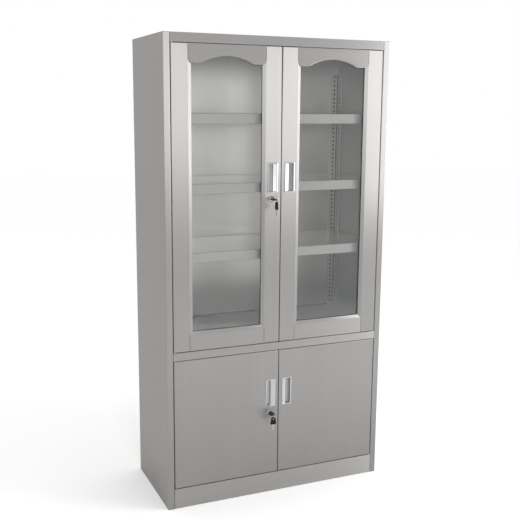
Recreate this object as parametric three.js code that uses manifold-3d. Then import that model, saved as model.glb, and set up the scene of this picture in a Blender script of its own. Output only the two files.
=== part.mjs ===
// Glass-door medical cabinet in brushed stainless steel: a folded-sheet carcass, two glazed upper
// doors with arched top rails, two plain lower doors, pivot pins, recessed pulls, cam locks and keys.
// Millimetres, +Z up, front towards -Y, origin on the floor under the middle of the plinth.
import * as THREE from 'three';
import { mergeVertices } from 'three/addons/utils/BufferGeometryUtils.js';
import Module from 'manifold-3d';

const wasm = await Module();
wasm.setup();

// Overall size of the carcass
const WIDTH = 900;
const DEPTH = 400;
const HEIGHT = 1750;

// Sheet thicknesses and clearances
const SHEET = 1;
const DOOR_SHEET = 1.2;
const SEAM = 0.3;
const DOOR_GAP = 2.5;
const LEVEL_GAP = 1.6;

// Carcass folds
const FLANGE = 25;
const FLANGE_RETURN = 18;
const REAR_FLANGE = 20;
const CORNER_RADIUS = 3;
const FASCIA_HEIGHT = 33;
const RAIL_HEIGHT = 31;
const RAIL_TOP = 611;
const BASE_TOP = 79;
const RAIL_RETURN = 45;
const FLOOR_STEP = 23;
const STOP_GAP = 2;
const RETURN_LIP = 10;
const REAR_LIP = 20;
const FOOT_FLANGE = 25;

// Slotted uprights and the bars that carry the upper shelves
const UPRIGHT_WIDTH = 44;
const UPRIGHT_DEPTH = 5.5;
const UPRIGHT_SHEET = 1.2;
const UPRIGHT_SETBACK = 4;
const UPRIGHT_DROP = 88;
const BACK_LEG = 28;
const BACK_LEG_GAP = 3;
const SLOT_WIDTH = 8;
const SLOT_HEIGHT = 9;
const SLOT_PITCH = 36;
const SLOT_FIRST = 40;
const SLOT_END = 28;
const HANGER_SHEET = 1.5;
const HANGER_LEDGE = 15;
const HOOK_WIDTH = 6;
const HOOK_HEIGHT = 7;
const HOOK_REACH = 3;

// Shelves: the upper ones hang in the slots counted from the deck
const SHELF_SETBACK = 35;
const SHELF_FRONT_LIP = 37;
const SHELF_LIP_RETURN = 12;
const SHELF_END_LIP = 20;
const SHELF_REAR_LIP = 18;
const SHELF_ABOVE_SLOT = 10;
const SHELF_REAR_GAP = 0.8;
const SHELF_SLOTS = [8, 15, 22];
const LOWER_SHELF_TOP = 330;

// Doors
const DOOR_DEPTH = 20;
const DOOR_LIP = 12;
const STILE_FACE = 62.5;
const BOTTOM_RAIL_FACE = 60;
const SHOULDER_FACE = 56.4;
const BEVEL = 12.5;
const BEVEL_DEPTH = 6;
const ARCH_ROLL = 4;
const ARCH_RADIUS = 190;
const ARCH_RISE = 28;
const ARCH_FILLET = 20;
const ARCH_STEPS = 14;
const FILLET_STEPS = 4;

// Glass and its rubber channel
const GLASS_THICKNESS = 4;
const GLASS_LAP = 10;
const GASKET_WALL = 2.5;
const GASKET_LEG = 1.2;
const GASKET_GRIP = 8.5;

// Pivot pins
const HINGE_INSET = 5;
const PIN_RADIUS = 3;
const PIN_CLEARANCE = 0.4;
const PIN_REACH = 12;
const PIN_COLLAR = 4.5;
const PIN_SIDES = 14;

// Recessed pulls on the meeting stiles
const HANDLE_WIDTH = 41;
const HANDLE_INSET = 33;
const HANDLE_HEIGHT = 111;
const HANDLE_PLATE = 1.5;
const HANDLE_RIM = 3;
const HANDLE_WALL = 1.5;
const HANDLE_DEPTH = 13;
const HANDLE_SLOPE = 13;
const HANDLE_SLOPE_DROP = 3.5;
const HANDLE_DRAFT = 1;
const UPPER_HANDLE_Z = 1243.5;
const LOWER_HANDLE_Z = 410;

// Cam locks below the pulls of the left doors
const LOCK_DROP = 79;
const LOCK_INSET = 35.75;
const LOCK_FACE_RADIUS = 11;
const LOCK_FACE = 6;
const LOCK_STEP = 2.5;
const LOCK_STEP_RADIUS = 9.5;
const BARREL_RADIUS = 8.5;
const BARREL_LENGTH = 18;
const PLUG_RADIUS = 5.7;
const TAIL_RADIUS = 4;
const TAIL_LENGTH = 8;
const CAM_LENGTH = 48;
const CAM_RADIUS = 7;
const CAM_SHEET = 2;
const CAM_GAP = 1.5;
const LOCK_SIDES = 20;
const RING_SIDES = 6;
const RING_STEPS = 24;

// Keys: a black head with a ring hole and a flat blade
const KEY_HOLE_RADIUS = 3.5;
const KEY_END_RADIUS = 9;
const KEY_SHOULDER = 22;
const KEY_HALF_WIDTH = 12;
const KEY_FLARE = 14;
const KEY_CORNER = 6;
const KEY_HEAD_THICKNESS = 4;
const BLADE_WIDTH = 7.4;
const BLADE_THICKNESS = 1.8;
const BLADE_LENGTH = 22;
const BLADE_ROOT = 4;
const BLADE_TIP = 2;
const KEYWAY_CLEARANCE = 0.3;
const KEY_STANDOFF = 2;
const RING_RADIUS = 9;
const RING_WIRE = 0.8;
const RING_DROP = 4.1;
const RING_CROSSING = 1.5;
const RING_HANG = 0.6;

// Magnetic catches of the right doors
const CATCH_WIDTH = 46;
const CATCH_DEPTH = 19;
const CATCH_HEIGHT = 13;
const CATCH_OFFSET = 30;
const CATCH_POLE = 1.5;
const CATCH_POLE_HEIGHT = 9;
const CATCH_POLE_INSET = 7.5;

// Planes worked out from the sizes above
const HALF = WIDTH / 2;
const FRONT = -DEPTH / 2;
const BACK = DEPTH / 2;
const INNER_HALF = HALF - SHEET - SEAM;
const RAIL_HALF = HALF - FLANGE - SEAM;
const BEHIND_FLANGE = FRONT + FLANGE_RETURN + SEAM;
const BACK_PANEL_REAR = BACK - SHEET - SEAM;
const INNER_BACK = BACK_PANEL_REAR - SHEET - SEAM;
const SIDE_TOP = HEIGHT - SHEET - SEAM;
const FASCIA_BOTTOM = HEIGHT - FASCIA_HEIGHT;
const RAIL_BOTTOM = RAIL_TOP - RAIL_HEIGHT;
const FLOOR_TOP = RAIL_TOP + FLOOR_STEP;
const DOOR_OUTER = HALF - FLANGE - DOOR_GAP;
const DOOR_INNER = DOOR_GAP / 2;
const DOOR_REAR = FRONT + DOOR_DEPTH;
const DOOR_STOP = DOOR_REAR + STOP_GAP;
const HINGE_X = DOOR_OUTER - HINGE_INSET;
const HINGE_Y = FRONT + HINGE_INSET;
const UPPER = { bottom: RAIL_TOP + LEVEL_GAP, top: FASCIA_BOTTOM - LEVEL_GAP };
const LOWER = { bottom: BASE_TOP + LEVEL_GAP, top: RAIL_BOTTOM - LEVEL_GAP };
const UPRIGHT_FACE = INNER_HALF - UPRIGHT_DEPTH;
const HANDLE_X = -(DOOR_INNER + HANDLE_INSET);
const LOCK_X = -(DOOR_INNER + LOCK_INSET);

const MATERIALS = {
  steel: new THREE.MeshStandardMaterial({ color: 0xb8b6b1, roughness: 0.36, metalness: 1 }),
  innerSteel: new THREE.MeshStandardMaterial({ color: 0xa9a8a4, roughness: 0.42, metalness: 1 }),
  chrome: new THREE.MeshStandardMaterial({ color: 0xdcdee0, roughness: 0.12, metalness: 1 }),
  zinc: new THREE.MeshStandardMaterial({ color: 0x9d9c96, roughness: 0.45, metalness: 0.9 }),
  glass: new THREE.MeshStandardMaterial({
    color: 0xe6efec, roughness: 0.04, metalness: 0, transparent: true, opacity: 0.25,
  }),
  rubber: new THREE.MeshStandardMaterial({ color: 0x2c2d2e, roughness: 0.85, metalness: 0 }),
  blackPlastic: new THREE.MeshStandardMaterial({ color: 0x17181a, roughness: 0.5, metalness: 0 }),
};

// A closed geometry as a solid that can be joined and cut.
function solid(geometry) {
  const bare = geometry.clone();
  bare.deleteAttribute('normal');
  bare.deleteAttribute('uv');
  const merged = mergeVertices(bare, 1e-4);
  const mesh = new wasm.Mesh({
    numProp: 3,
    vertProperties: new Float32Array(merged.attributes.position.array),
    triVerts: new Uint32Array(merged.index.array),
  });
  return new wasm.Manifold(mesh);
}

// A joined or cut solid as a plain geometry again.
function surface(body) {
  const mesh = body.getMesh();
  const geometry = new THREE.BufferGeometry();
  geometry.setAttribute('position', new THREE.BufferAttribute(mesh.vertProperties, 3));
  geometry.setIndex(new THREE.BufferAttribute(mesh.triVerts, 1));
  geometry.computeVertexNormals();
  return geometry;
}

const join = (...pieces) => surface(pieces.map(solid).reduce((sum, piece) => sum.add(piece)));
const cut = (base, ...tools) =>
  surface(tools.map(solid).reduce((rest, tool) => rest.subtract(tool), solid(base)));
const common = (first, second) => surface(solid(first).intersect(solid(second)));

// A box between two corners, with the corners' own numbers in its vertices.
function box(xs, ys, zs) {
  const geometry = new THREE.BoxGeometry();
  const { position } = geometry.attributes;
  for (let i = 0; i < position.count; i += 1) {
    const [x, y, z] = [xs, ys, zs].map((ends, axis) => ends[position.getComponent(i, axis) > 0 ? 1 : 0]);
    position.setXYZ(i, x, y, z);
  }
  return geometry;
}

const AXIS_X = new THREE.Vector3(1, 0, 0);
const AXIS_Y = new THREE.Vector3(0, 1, 0);
const AXIS_Z = new THREE.Vector3(0, 0, 1);
const corners = (points) => points.map(([a, b]) => new THREE.Vector2(a, b));
const shapeOf = (points) => new THREE.Shape(corners(points));

// A shape carried from one height to another, with those heights' own numbers in its vertices.
function extruded(shape, from, to, curveSegments = 6) {
  const geometry = new THREE.ExtrudeGeometry(shape, { depth: 1, bevelEnabled: false, curveSegments });
  const { position } = geometry.attributes;
  for (let i = 0; i < position.count; i += 1) {
    position.setZ(i, position.getZ(i) > 0 ? to : from);
  }
  return geometry;
}

// An outline in plan (x, y) carried up from z0 to z1.
const planPrism = (points, z0, z1) => extruded(shapeOf(points), z0, z1);

// A shape seen from the front (x, z) carried back from y0 to y1.
function frontPrism(shape, y0, y1) {
  const turn = new THREE.Matrix4().makeBasis(AXIS_X, AXIS_Z, AXIS_Y.clone().negate());
  return extruded(shape, -y1, -y0).applyMatrix4(turn);
}

// A shape seen from the side (y, z) carried across from x0 to x1.
function sidePrism(shape, x0, x1) {
  const turn = new THREE.Matrix4().makeBasis(AXIS_Y, AXIS_Z, AXIS_X);
  return extruded(shape, x0, x1).applyMatrix4(turn);
}

// A turned piece on a vertical axis, from pairs of radius and height that start and end on the axis.
function turned(profile, sides) {
  const points = profile.map(([radius, height]) => new THREE.Vector2(radius, height));
  return new THREE.LatheGeometry(points, sides).rotateX(Math.PI / 2);
}

// A cylinder along Z between two heights.
const post = (radius, z0, z1, sides) => turned([[0, z0], [radius, z0], [radius, z1], [0, z1]], sides);

// The same geometry on the other side of the cabinet's middle plane.
function mirrored(geometry) {
  const copy = geometry.clone().applyMatrix4(new THREE.Matrix4().makeScale(-1, 1, 1));
  const flipped = copy.index ? copy : mergeVertices(copy);
  const index = flipped.index.array;
  for (let i = 0; i < index.length; i += 3) {
    const first = index[i];
    index[i] = index[i + 2];
    index[i + 2] = first;
  }
  return flipped;
}

// Points of an arc from one angle to another, in degrees.
function arc(cx, cy, radius, from, to, steps) {
  return Array.from({ length: steps + 1 }, (_, i) => {
    const angle = THREE.MathUtils.degToRad(from + ((to - from) * i) / steps);
    return [cx + radius * Math.cos(angle), cy + radius * Math.sin(angle)];
  });
}

const cabinet = new THREE.Group();
cabinet.position.y = -(FRONT + FOOT_FLANGE / 2);

function add(name, geometry, material, parent = cabinet) {
  const mesh = new THREE.Mesh(geometry, material);
  mesh.name = name;
  parent.add(mesh);
  return mesh;
}

// A left-hand geometry under its own name on the left or, mirrored, on the right.
const addSided = (name, side, geometry, material) =>
  add(name, side === 'left' ? geometry : mirrored(geometry), material);

const pinHole = (side, z0, z1) =>
  post(PIN_RADIUS + PIN_CLEARANCE, z0, z1, PIN_SIDES).translate(side * HINGE_X, HINGE_Y, 0);
const pinHoles = (z0, z1) => [-1, 1].map((side) => pinHole(side, z0, z1));

// Side panel: one sheet with a boxed front flange and a rear flange.
function sidePanel() {
  const edge = -HALF + FLANGE;
  const corner = [-HALF + CORNER_RADIUS, FRONT + CORNER_RADIUS];
  const outline = [
    [-HALF + REAR_FLANGE, BACK],
    [-HALF, BACK],
    ...arc(...corner, CORNER_RADIUS, 180, 270, FILLET_STEPS),
    [edge, FRONT],
    [edge, FRONT + FLANGE_RETURN],
    [edge - SHEET, FRONT + FLANGE_RETURN],
    [edge - SHEET, FRONT + SHEET],
    ...arc(...corner, CORNER_RADIUS - SHEET, 270, 180, FILLET_STEPS),
    [-HALF + SHEET, BACK - SHEET],
    [-HALF + REAR_FLANGE, BACK - SHEET],
  ];
  return planPrism(outline, 0, SIDE_TOP);
}

// Top panel: the roof sheet with the fascia folded down and back under it.
function topPanel() {
  const span = [-RAIL_HALF, RAIL_HALF];
  const returnRear = FRONT + RAIL_RETURN;
  const folded = join(
    box([-HALF, HALF], [FRONT, BACK], [HEIGHT - SHEET, HEIGHT]),
    box(span, [FRONT, FRONT + SHEET], [FASCIA_BOTTOM, HEIGHT]),
    box(span, [FRONT, returnRear], [FASCIA_BOTTOM, FASCIA_BOTTOM + SHEET]),
    box(span, [returnRear - SHEET, returnRear], [FASCIA_BOTTOM, FASCIA_BOTTOM + RETURN_LIP]),
  );
  return cut(folded, ...pinHoles(FASCIA_BOTTOM - SHEET, FASCIA_BOTTOM + 2 * SHEET));
}

// The tongues with which a floor sheet closes the channels of the side flanges.
function tongues(zs) {
  const [inner, outer] = [HALF - FLANGE + SHEET + SEAM, HALF - CORNER_RADIUS];
  const ys = [FRONT + SHEET + SEAM, 0];
  return [box([-outer, -inner], ys, zs), box([inner, outer], ys, zs)];
}

// Middle deck: the floor of the glazed bay, stepped down behind the doors to the rail in front of it.
function middleDeck() {
  const span = [-RAIL_HALF, RAIL_HALF];
  const wide = [-INNER_HALF, INNER_HALF];
  const floor = [FLOOR_TOP - SHEET, FLOOR_TOP];
  const riser = [DOOR_STOP, DOOR_STOP + SHEET];
  const returnRear = FRONT + RAIL_RETURN;
  const folded = join(
    box(wide, [DOOR_STOP, INNER_BACK], floor),
    ...tongues(floor),
    box(span, riser, [RAIL_TOP - SHEET, FLOOR_TOP]),
    box(span, [FRONT, DOOR_STOP + SHEET], [RAIL_TOP - SHEET, RAIL_TOP]),
    box(span, [FRONT, FRONT + SHEET], [RAIL_BOTTOM, RAIL_TOP]),
    box(span, [FRONT, returnRear], [RAIL_BOTTOM, RAIL_BOTTOM + SHEET]),
    box(span, [returnRear - SHEET, returnRear], [RAIL_BOTTOM, RAIL_BOTTOM + RETURN_LIP]),
    box(wide, [INNER_BACK - SHEET, INNER_BACK], [FLOOR_TOP - REAR_LIP, FLOOR_TOP]),
  );
  return cut(folded, ...pinHoles(RAIL_BOTTOM - SHEET, RAIL_TOP + SHEET));
}

// Bottom panel: the floor of the lower bay, lying on the plinth.
function bottomPanel() {
  const wide = [-INNER_HALF, INNER_HALF];
  const thick = [BASE_TOP - SHEET, BASE_TOP];
  const folded = join(
    box(wide, [BEHIND_FLANGE, INNER_BACK], thick),
    box([-RAIL_HALF, RAIL_HALF], [FRONT, 0], thick),
    ...tongues(thick),
    box(wide, [INNER_BACK - SHEET, INNER_BACK], [BASE_TOP - REAR_LIP, BASE_TOP]),
  );
  return cut(folded, ...pinHoles(BASE_TOP - 2 * SHEET, BASE_TOP + SHEET));
}

// Plinth: a channel with a foot flange on the floor.
function plinth() {
  const top = BASE_TOP - SHEET - SEAM;
  const rear = FRONT + FOOT_FLANGE;
  const section = [
    [FRONT, 0],
    [rear, 0],
    [rear, SHEET],
    [FRONT + SHEET, SHEET],
    [FRONT + SHEET, top - SHEET],
    [rear, top - SHEET],
    [rear, top],
    [FRONT, top],
  ];
  return cut(sidePrism(shapeOf(section), -RAIL_HALF, RAIL_HALF), ...pinHoles(top - 2 * SHEET, top + SHEET));
}

const slotHeight = (index) => FLOOR_TOP + SLOT_FIRST + SLOT_PITCH * index;
const slotCount = 1 + Math.floor((FASCIA_BOTTOM - UPRIGHT_DROP - slotHeight(0)) / SLOT_PITCH);
const UPRIGHT_Z = [FLOOR_TOP + SEAM, slotHeight(slotCount - 1) + SLOT_END];

// Front edges of the front and rear uprights, and the front of the rear ones' back legs.
const BACK_LEG_FRONT = INNER_BACK - BACK_LEG_GAP - UPRIGHT_SHEET;
const UPRIGHT_Y = { front: FRONT + FLANGE_RETURN + UPRIGHT_SETBACK, rear: INNER_BACK - UPRIGHT_WIDTH };

// A strip between two ends, as high as an upright, with a ladder of slots down its middle.
function slottedStrip(from, to) {
  const [low, high] = UPRIGHT_Z;
  const middle = (from + to) / 2;
  const [a, b] = [middle - SLOT_WIDTH / 2, middle + SLOT_WIDTH / 2];
  const strip = shapeOf([[from, low], [to, low], [to, high], [from, high]]);
  for (let index = 0; index < slotCount; index += 1) {
    const [bottom, top] = [slotHeight(index) - SLOT_HEIGHT / 2, slotHeight(index) + SLOT_HEIGHT / 2];
    strip.holes.push(new THREE.Path(corners([[a, bottom], [a, top], [b, top], [b, bottom]])));
  }
  return strip;
}

const uprightWeb = (y0) => sidePrism(
  slottedStrip(y0, y0 + UPRIGHT_WIDTH),
  -UPRIGHT_FACE - UPRIGHT_SHEET,
  -UPRIGHT_FACE,
);
const uprightLeg = (y0) => box([-INNER_HALF, -UPRIGHT_FACE], [y0, y0 + UPRIGHT_SHEET], UPRIGHT_Z);

// Left front upright: a channel open to the side wall, with slots in its web.
function frontUpright() {
  const y0 = UPRIGHT_Y.front;
  return join(uprightWeb(y0), uprightLeg(y0), uprightLeg(y0 + UPRIGHT_WIDTH - UPRIGHT_SHEET));
}

// Left rear upright: an angle in the corner, slotted by the wall, with its edges turned to the walls.
function rearUpright() {
  const inner = -UPRIGHT_FACE + BACK_LEG;
  const backLeg = [BACK_LEG_FRONT, BACK_LEG_FRONT + UPRIGHT_SHEET];
  return join(
    uprightWeb(UPRIGHT_Y.rear),
    uprightLeg(UPRIGHT_Y.rear),
    box([-UPRIGHT_FACE - UPRIGHT_SHEET, inner], backLeg, UPRIGHT_Z),
    box([inner - UPRIGHT_SHEET, inner], [BACK_LEG_FRONT, INNER_BACK], UPRIGHT_Z),
  );
}

const HANGER_OUTER = UPRIGHT_FACE - SEAM;
const HANGER_INNER = HANGER_OUTER - HANGER_SHEET;
const SHELF_FRONT = FRONT + SHELF_SETBACK;
const SHELF_REAR = BACK_LEG_FRONT - SHELF_REAR_GAP;

// Left shelf hanger: an angle bar hooked into a slot of each upright.
function hanger(shelfTop) {
  const ledgeTop = shelfTop - SHELF_END_LIP - SEAM;
  const bottom = ledgeTop - HANGER_SHEET;
  const hookHeight = shelfTop - SHELF_ABOVE_SLOT;
  const ends = [UPRIGHT_Y.front, SHELF_REAR];
  const ledgeEnds = [SHELF_FRONT + SHELF_LIP_RETURN + HOOK_WIDTH, SHELF_REAR - UPRIGHT_SETBACK];
  const hooks = Object.values(UPRIGHT_Y).map((y0) => {
    const middle = y0 + UPRIGHT_WIDTH / 2;
    return box(
      [-UPRIGHT_FACE - UPRIGHT_SHEET - HOOK_REACH, -HANGER_INNER],
      [middle - HOOK_WIDTH / 2, middle + HOOK_WIDTH / 2],
      [hookHeight - HOOK_HEIGHT / 2, hookHeight + HOOK_HEIGHT / 2],
    );
  });
  return join(
    box([-HANGER_OUTER, -HANGER_INNER], ends, [bottom, shelfTop]),
    box([-HANGER_OUTER, -HANGER_INNER + HANGER_LEDGE], ledgeEnds, [bottom, ledgeTop]),
    ...hooks,
  );
}

// Shelf: a tray turned over, with a deep front lip folded back underneath.
function shelf(halfWidth, rear, top) {
  const lipBottom = top - SHELF_FRONT_LIP;
  const section = [
    [SHELF_FRONT, lipBottom],
    [SHELF_FRONT + SHELF_LIP_RETURN, lipBottom],
    [SHELF_FRONT + SHELF_LIP_RETURN, lipBottom + SHEET],
    [SHELF_FRONT + SHEET, lipBottom + SHEET],
    [SHELF_FRONT + SHEET, top - SHEET],
    [rear - SHEET, top - SHEET],
    [rear - SHEET, top - SHELF_REAR_LIP],
    [rear, top - SHELF_REAR_LIP],
    [rear, top],
    [SHELF_FRONT, top],
  ];
  const weld = SHEET / 2;
  const endLip = (side) => box(
    [side * halfWidth, side * (halfWidth - SHEET)].sort((a, b) => a - b),
    [SHELF_FRONT + weld, rear - weld],
    [top - SHELF_END_LIP, top - weld],
  );
  return join(sidePrism(shapeOf(section), -halfWidth, halfWidth), endLip(-1), endLip(1));
}

// Left pivot pin: shanks into the doors above and below, with a collar in each door gap.
function pivotPin(low, high, gaps) {
  const inset = (PIN_COLLAR - PIN_RADIUS) / 2;
  const profile = [[0, low], [PIN_RADIUS - inset, low], [PIN_RADIUS, low + inset]];
  for (const gap of gaps) {
    const [bottom, top] = [gap + SEAM, gap + LEVEL_GAP - SEAM];
    profile.push([PIN_RADIUS, bottom], [PIN_COLLAR, bottom], [PIN_COLLAR, top], [PIN_RADIUS, top]);
  }
  profile.push([PIN_RADIUS, high - inset], [PIN_RADIUS - inset, high], [0, high]);
  return turned(profile, PIN_SIDES).translate(-HINGE_X, HINGE_Y, 0);
}

// Folded pan of a left door: a face with returns all round and lips behind them.
function doorPan({ bottom, top }) {
  const [x0, x1] = [-DOOR_OUTER, -DOOR_INNER];
  const inside = DOOR_SHEET;
  const behind = DOOR_SHEET + DOOR_LIP;
  const shrink = (by) => [[x0 + by, x1 - by], [bottom + by, top - by]];
  const [hollowX, hollowZ] = shrink(inside);
  const [mouthX, mouthZ] = shrink(behind);
  return cut(
    box([x0, x1], [FRONT, DOOR_REAR], [bottom, top]),
    box(hollowX, [FRONT + DOOR_SHEET, DOOR_REAR - DOOR_SHEET], hollowZ),
    box(mouthX, [FRONT + DOOR_SHEET, DOOR_REAR + DOOR_SHEET], mouthZ),
    pinHole(-1, bottom - DOOR_SHEET, bottom + 2 * DOOR_SHEET),
    pinHole(-1, top - 2 * DOOR_SHEET, top + DOOR_SHEET),
  );
}

// Clear opening of the left upper door, inside its bevels.
const SIGHT = {
  left: -DOOR_OUTER + STILE_FACE + BEVEL,
  right: -DOOR_INNER - STILE_FACE - BEVEL,
  bottom: UPPER.bottom + BOTTOM_RAIL_FACE + BEVEL,
  shoulder: UPPER.top - SHOULDER_FACE - BEVEL,
};

// Outline of the opening grown outwards by an offset: square foot, level shoulders and an arch
// that runs into them through hollow fillets.
function sightOutline(offset) {
  const middle = (SIGHT.left + SIGHT.right) / 2;
  const arcCentre = SIGHT.shoulder + ARCH_RISE - ARCH_RADIUS;
  const filletCentre = SIGHT.shoulder + ARCH_FILLET;
  const reach = ARCH_RADIUS + ARCH_FILLET;
  const run = Math.sqrt(reach ** 2 - (filletCentre - arcCentre) ** 2);
  const spring = THREE.MathUtils.radToDeg(Math.atan2(filletCentre - arcCentre, run));
  const shoulder = SIGHT.shoulder + offset;
  const [filletRadius, archRadius] = [ARCH_FILLET - offset, ARCH_RADIUS + offset];
  return [
    [SIGHT.left - offset, SIGHT.bottom - offset],
    [SIGHT.right + offset, SIGHT.bottom - offset],
    [SIGHT.right + offset, shoulder],
    ...arc(middle + run, filletCentre, filletRadius, 270, 180 + spring, FILLET_STEPS),
    ...arc(middle, arcCentre, archRadius, spring, 180 - spring, ARCH_STEPS).slice(1, -1),
    ...arc(middle - run, filletCentre, filletRadius, 360 - spring, 270, FILLET_STEPS),
    [SIGHT.left - offset, shoulder],
  ];
}

// A solid that passes through the opening's outline at several depths, given as pairs of y and offset.
function sightLoft(stations) {
  const rings = stations.map(([y, offset]) => sightOutline(offset).map(([x, z]) => [x, y, z]));
  const count = rings[0].length;
  const index = [];
  for (let ring = 0; ring + 1 < rings.length; ring += 1) {
    for (let i = 0; i < count; i += 1) {
      const [a, b] = [ring * count + i, ring * count + ((i + 1) % count)];
      index.push(a, b, b + count, a, b + count, a + count);
    }
  }
  const flat = (ring) => ring.map(([x, , z]) => new THREE.Vector2(x, z));
  const last = (rings.length - 1) * count;
  for (const [a, b, c] of THREE.ShapeUtils.triangulateShape(flat(rings[0]), [])) {
    index.push(a, c, b);
  }
  for (const [a, b, c] of THREE.ShapeUtils.triangulateShape(flat(rings.at(-1)), [])) {
    index.push(last + a, last + b, last + c);
  }
  const geometry = new THREE.BufferGeometry();
  geometry.setAttribute('position', new THREE.Float32BufferAttribute(rings.flat(2), 3));
  geometry.setIndex(index.reverse());
  return geometry;
}

const BEVEL_END = FRONT + BEVEL_DEPTH + DOOR_SHEET;

// Pressed face of the left upper door: the pan with a window whose edge slopes in over a given width,
// before it is parted at its welds.
function glazedFace(bevel) {
  const slope = bevel / BEVEL_DEPTH;
  const wall = DOOR_SHEET * Math.hypot(1, slope);
  const through = sightLoft([
    [FRONT - SHEET, bevel + slope * SHEET],
    [FRONT + BEVEL_DEPTH, 0],
    [DOOR_REAR + SHEET, 0],
  ]);
  const bevelSheet = sightLoft([
    [FRONT, bevel + wall],
    [FRONT + BEVEL_DEPTH, wall],
    [BEVEL_END, wall],
  ]);
  return cut(join(doorPan(UPPER), bevelSheet), through);
}

// Areas of the four frame members, parted along the stile edges and across the bevels' mitres.
function frameAreas() {
  const [x0, x1] = [-DOOR_OUTER - SHEET, -DOOR_INNER + SHEET];
  const [z0, z1] = [UPPER.bottom - SHEET, UPPER.top + SHEET];
  const { left, right, bottom, shoulder } = SIGHT;
  const [faceLeft, faceRight] = [left - BEVEL, right + BEVEL];
  const [faceLow, faceHigh] = [bottom - BEVEL, shoulder + BEVEL];
  const gap = SEAM;
  return {
    hinge_stile: [[x0, z0], [faceLeft, z0], [faceLeft, faceLow], [left, bottom], [left + gap, bottom],
      [left + gap, shoulder], [left, shoulder], [faceLeft, faceHigh], [faceLeft, z1], [x0, z1]],
    meeting_stile: [[x1, z0], [x1, z1], [faceRight, z1], [faceRight, faceHigh], [right, shoulder],
      [right - gap, shoulder], [right - gap, bottom], [right, bottom], [faceRight, faceLow], [faceRight, z0]],
    bottom_rail: [[faceLeft + gap, z0], [faceRight - gap, z0], [faceRight - gap, faceLow - gap],
      [right - gap, bottom - gap], [right - gap, bottom + gap], [left + gap, bottom + gap],
      [left + gap, bottom - gap], [faceLeft + gap, faceLow - gap]],
    arch_rail: [[faceLeft + gap, z1], [faceLeft + gap, faceHigh + gap], [left + gap, shoulder + gap],
      [left + gap, shoulder - gap], [right - gap, shoulder - gap], [right - gap, shoulder + gap],
      [faceRight - gap, faceHigh + gap], [faceRight - gap, z1]],
  };
}

const TUB_WIDTH = HANDLE_WIDTH - 2 * HANDLE_RIM;
const TUB_HEIGHT = HANDLE_HEIGHT - 2 * HANDLE_RIM;
const PLATE_REAR = FRONT - SEAM;

// Hole in a left door's face for the tub of its pull.
function handleHole(z) {
  const [x, half] = [HANDLE_X, TUB_WIDTH / 2 + SEAM];
  const [low, high] = [z - TUB_HEIGHT / 2 - SEAM, z + TUB_HEIGHT / 2 + SEAM];
  return box([x - half, x + half], [FRONT - SHEET, FRONT + 2 * SHEET], [low, high]);
}

// Left recessed pull: a rim plate and a tub, with a shallow slope up to the rim by the meeting edge.
function handle(z) {
  const rim = [HANDLE_WIDTH / 2, HANDLE_HEIGHT / 2];
  const tub = [TUB_WIDTH / 2, TUB_HEIGHT / 2];
  const cavity = [tub[0] - HANDLE_WALL, tub[1] - HANDLE_WALL];
  const plateFront = PLATE_REAR - HANDLE_PLATE;
  const rear = FRONT + HANDLE_DEPTH;
  const floor = rear - HANDLE_WALL;
  const span = (half, centre) => [centre - half, centre + half];
  const hollow = planPrism([
    [HANDLE_X - cavity[0], plateFront - SHEET],
    [HANDLE_X + cavity[0], plateFront - SHEET],
    [HANDLE_X + cavity[0], PLATE_REAR],
    [HANDLE_X + cavity[0] - HANDLE_SLOPE, PLATE_REAR + HANDLE_SLOPE_DROP],
    [HANDLE_X + cavity[0] - HANDLE_SLOPE - HANDLE_DRAFT, floor],
    [HANDLE_X - cavity[0], floor],
  ], z - cavity[1], z + cavity[1]);
  return cut(
    join(
      box(span(rim[0], HANDLE_X), [plateFront, PLATE_REAR], span(rim[1], z)),
      box(span(tub[0], HANDLE_X), [plateFront, rear], span(tub[1], z)),
    ),
    hollow,
  );
}

// A turned piece on a lock's axis, from pairs of radius and y.
const onLockAxis = (profile, z) => turned(profile.map(([r, y]) => [r, -y]), LOCK_SIDES)
  .rotateX(Math.PI / 2)
  .translate(LOCK_X, 0, z);
const lockBore = (radius, y0, y1, z) => onLockAxis([[0, y1], [radius, y1], [radius, y0], [0, y0]], z);

const LOCK_FRONT = FRONT - LOCK_FACE;
const BARREL_REAR = FRONT + BARREL_LENGTH;
const lockHole = (z) => lockBore(BARREL_RADIUS + SEAM, FRONT - SHEET, FRONT + 2 * SHEET, z);

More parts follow.
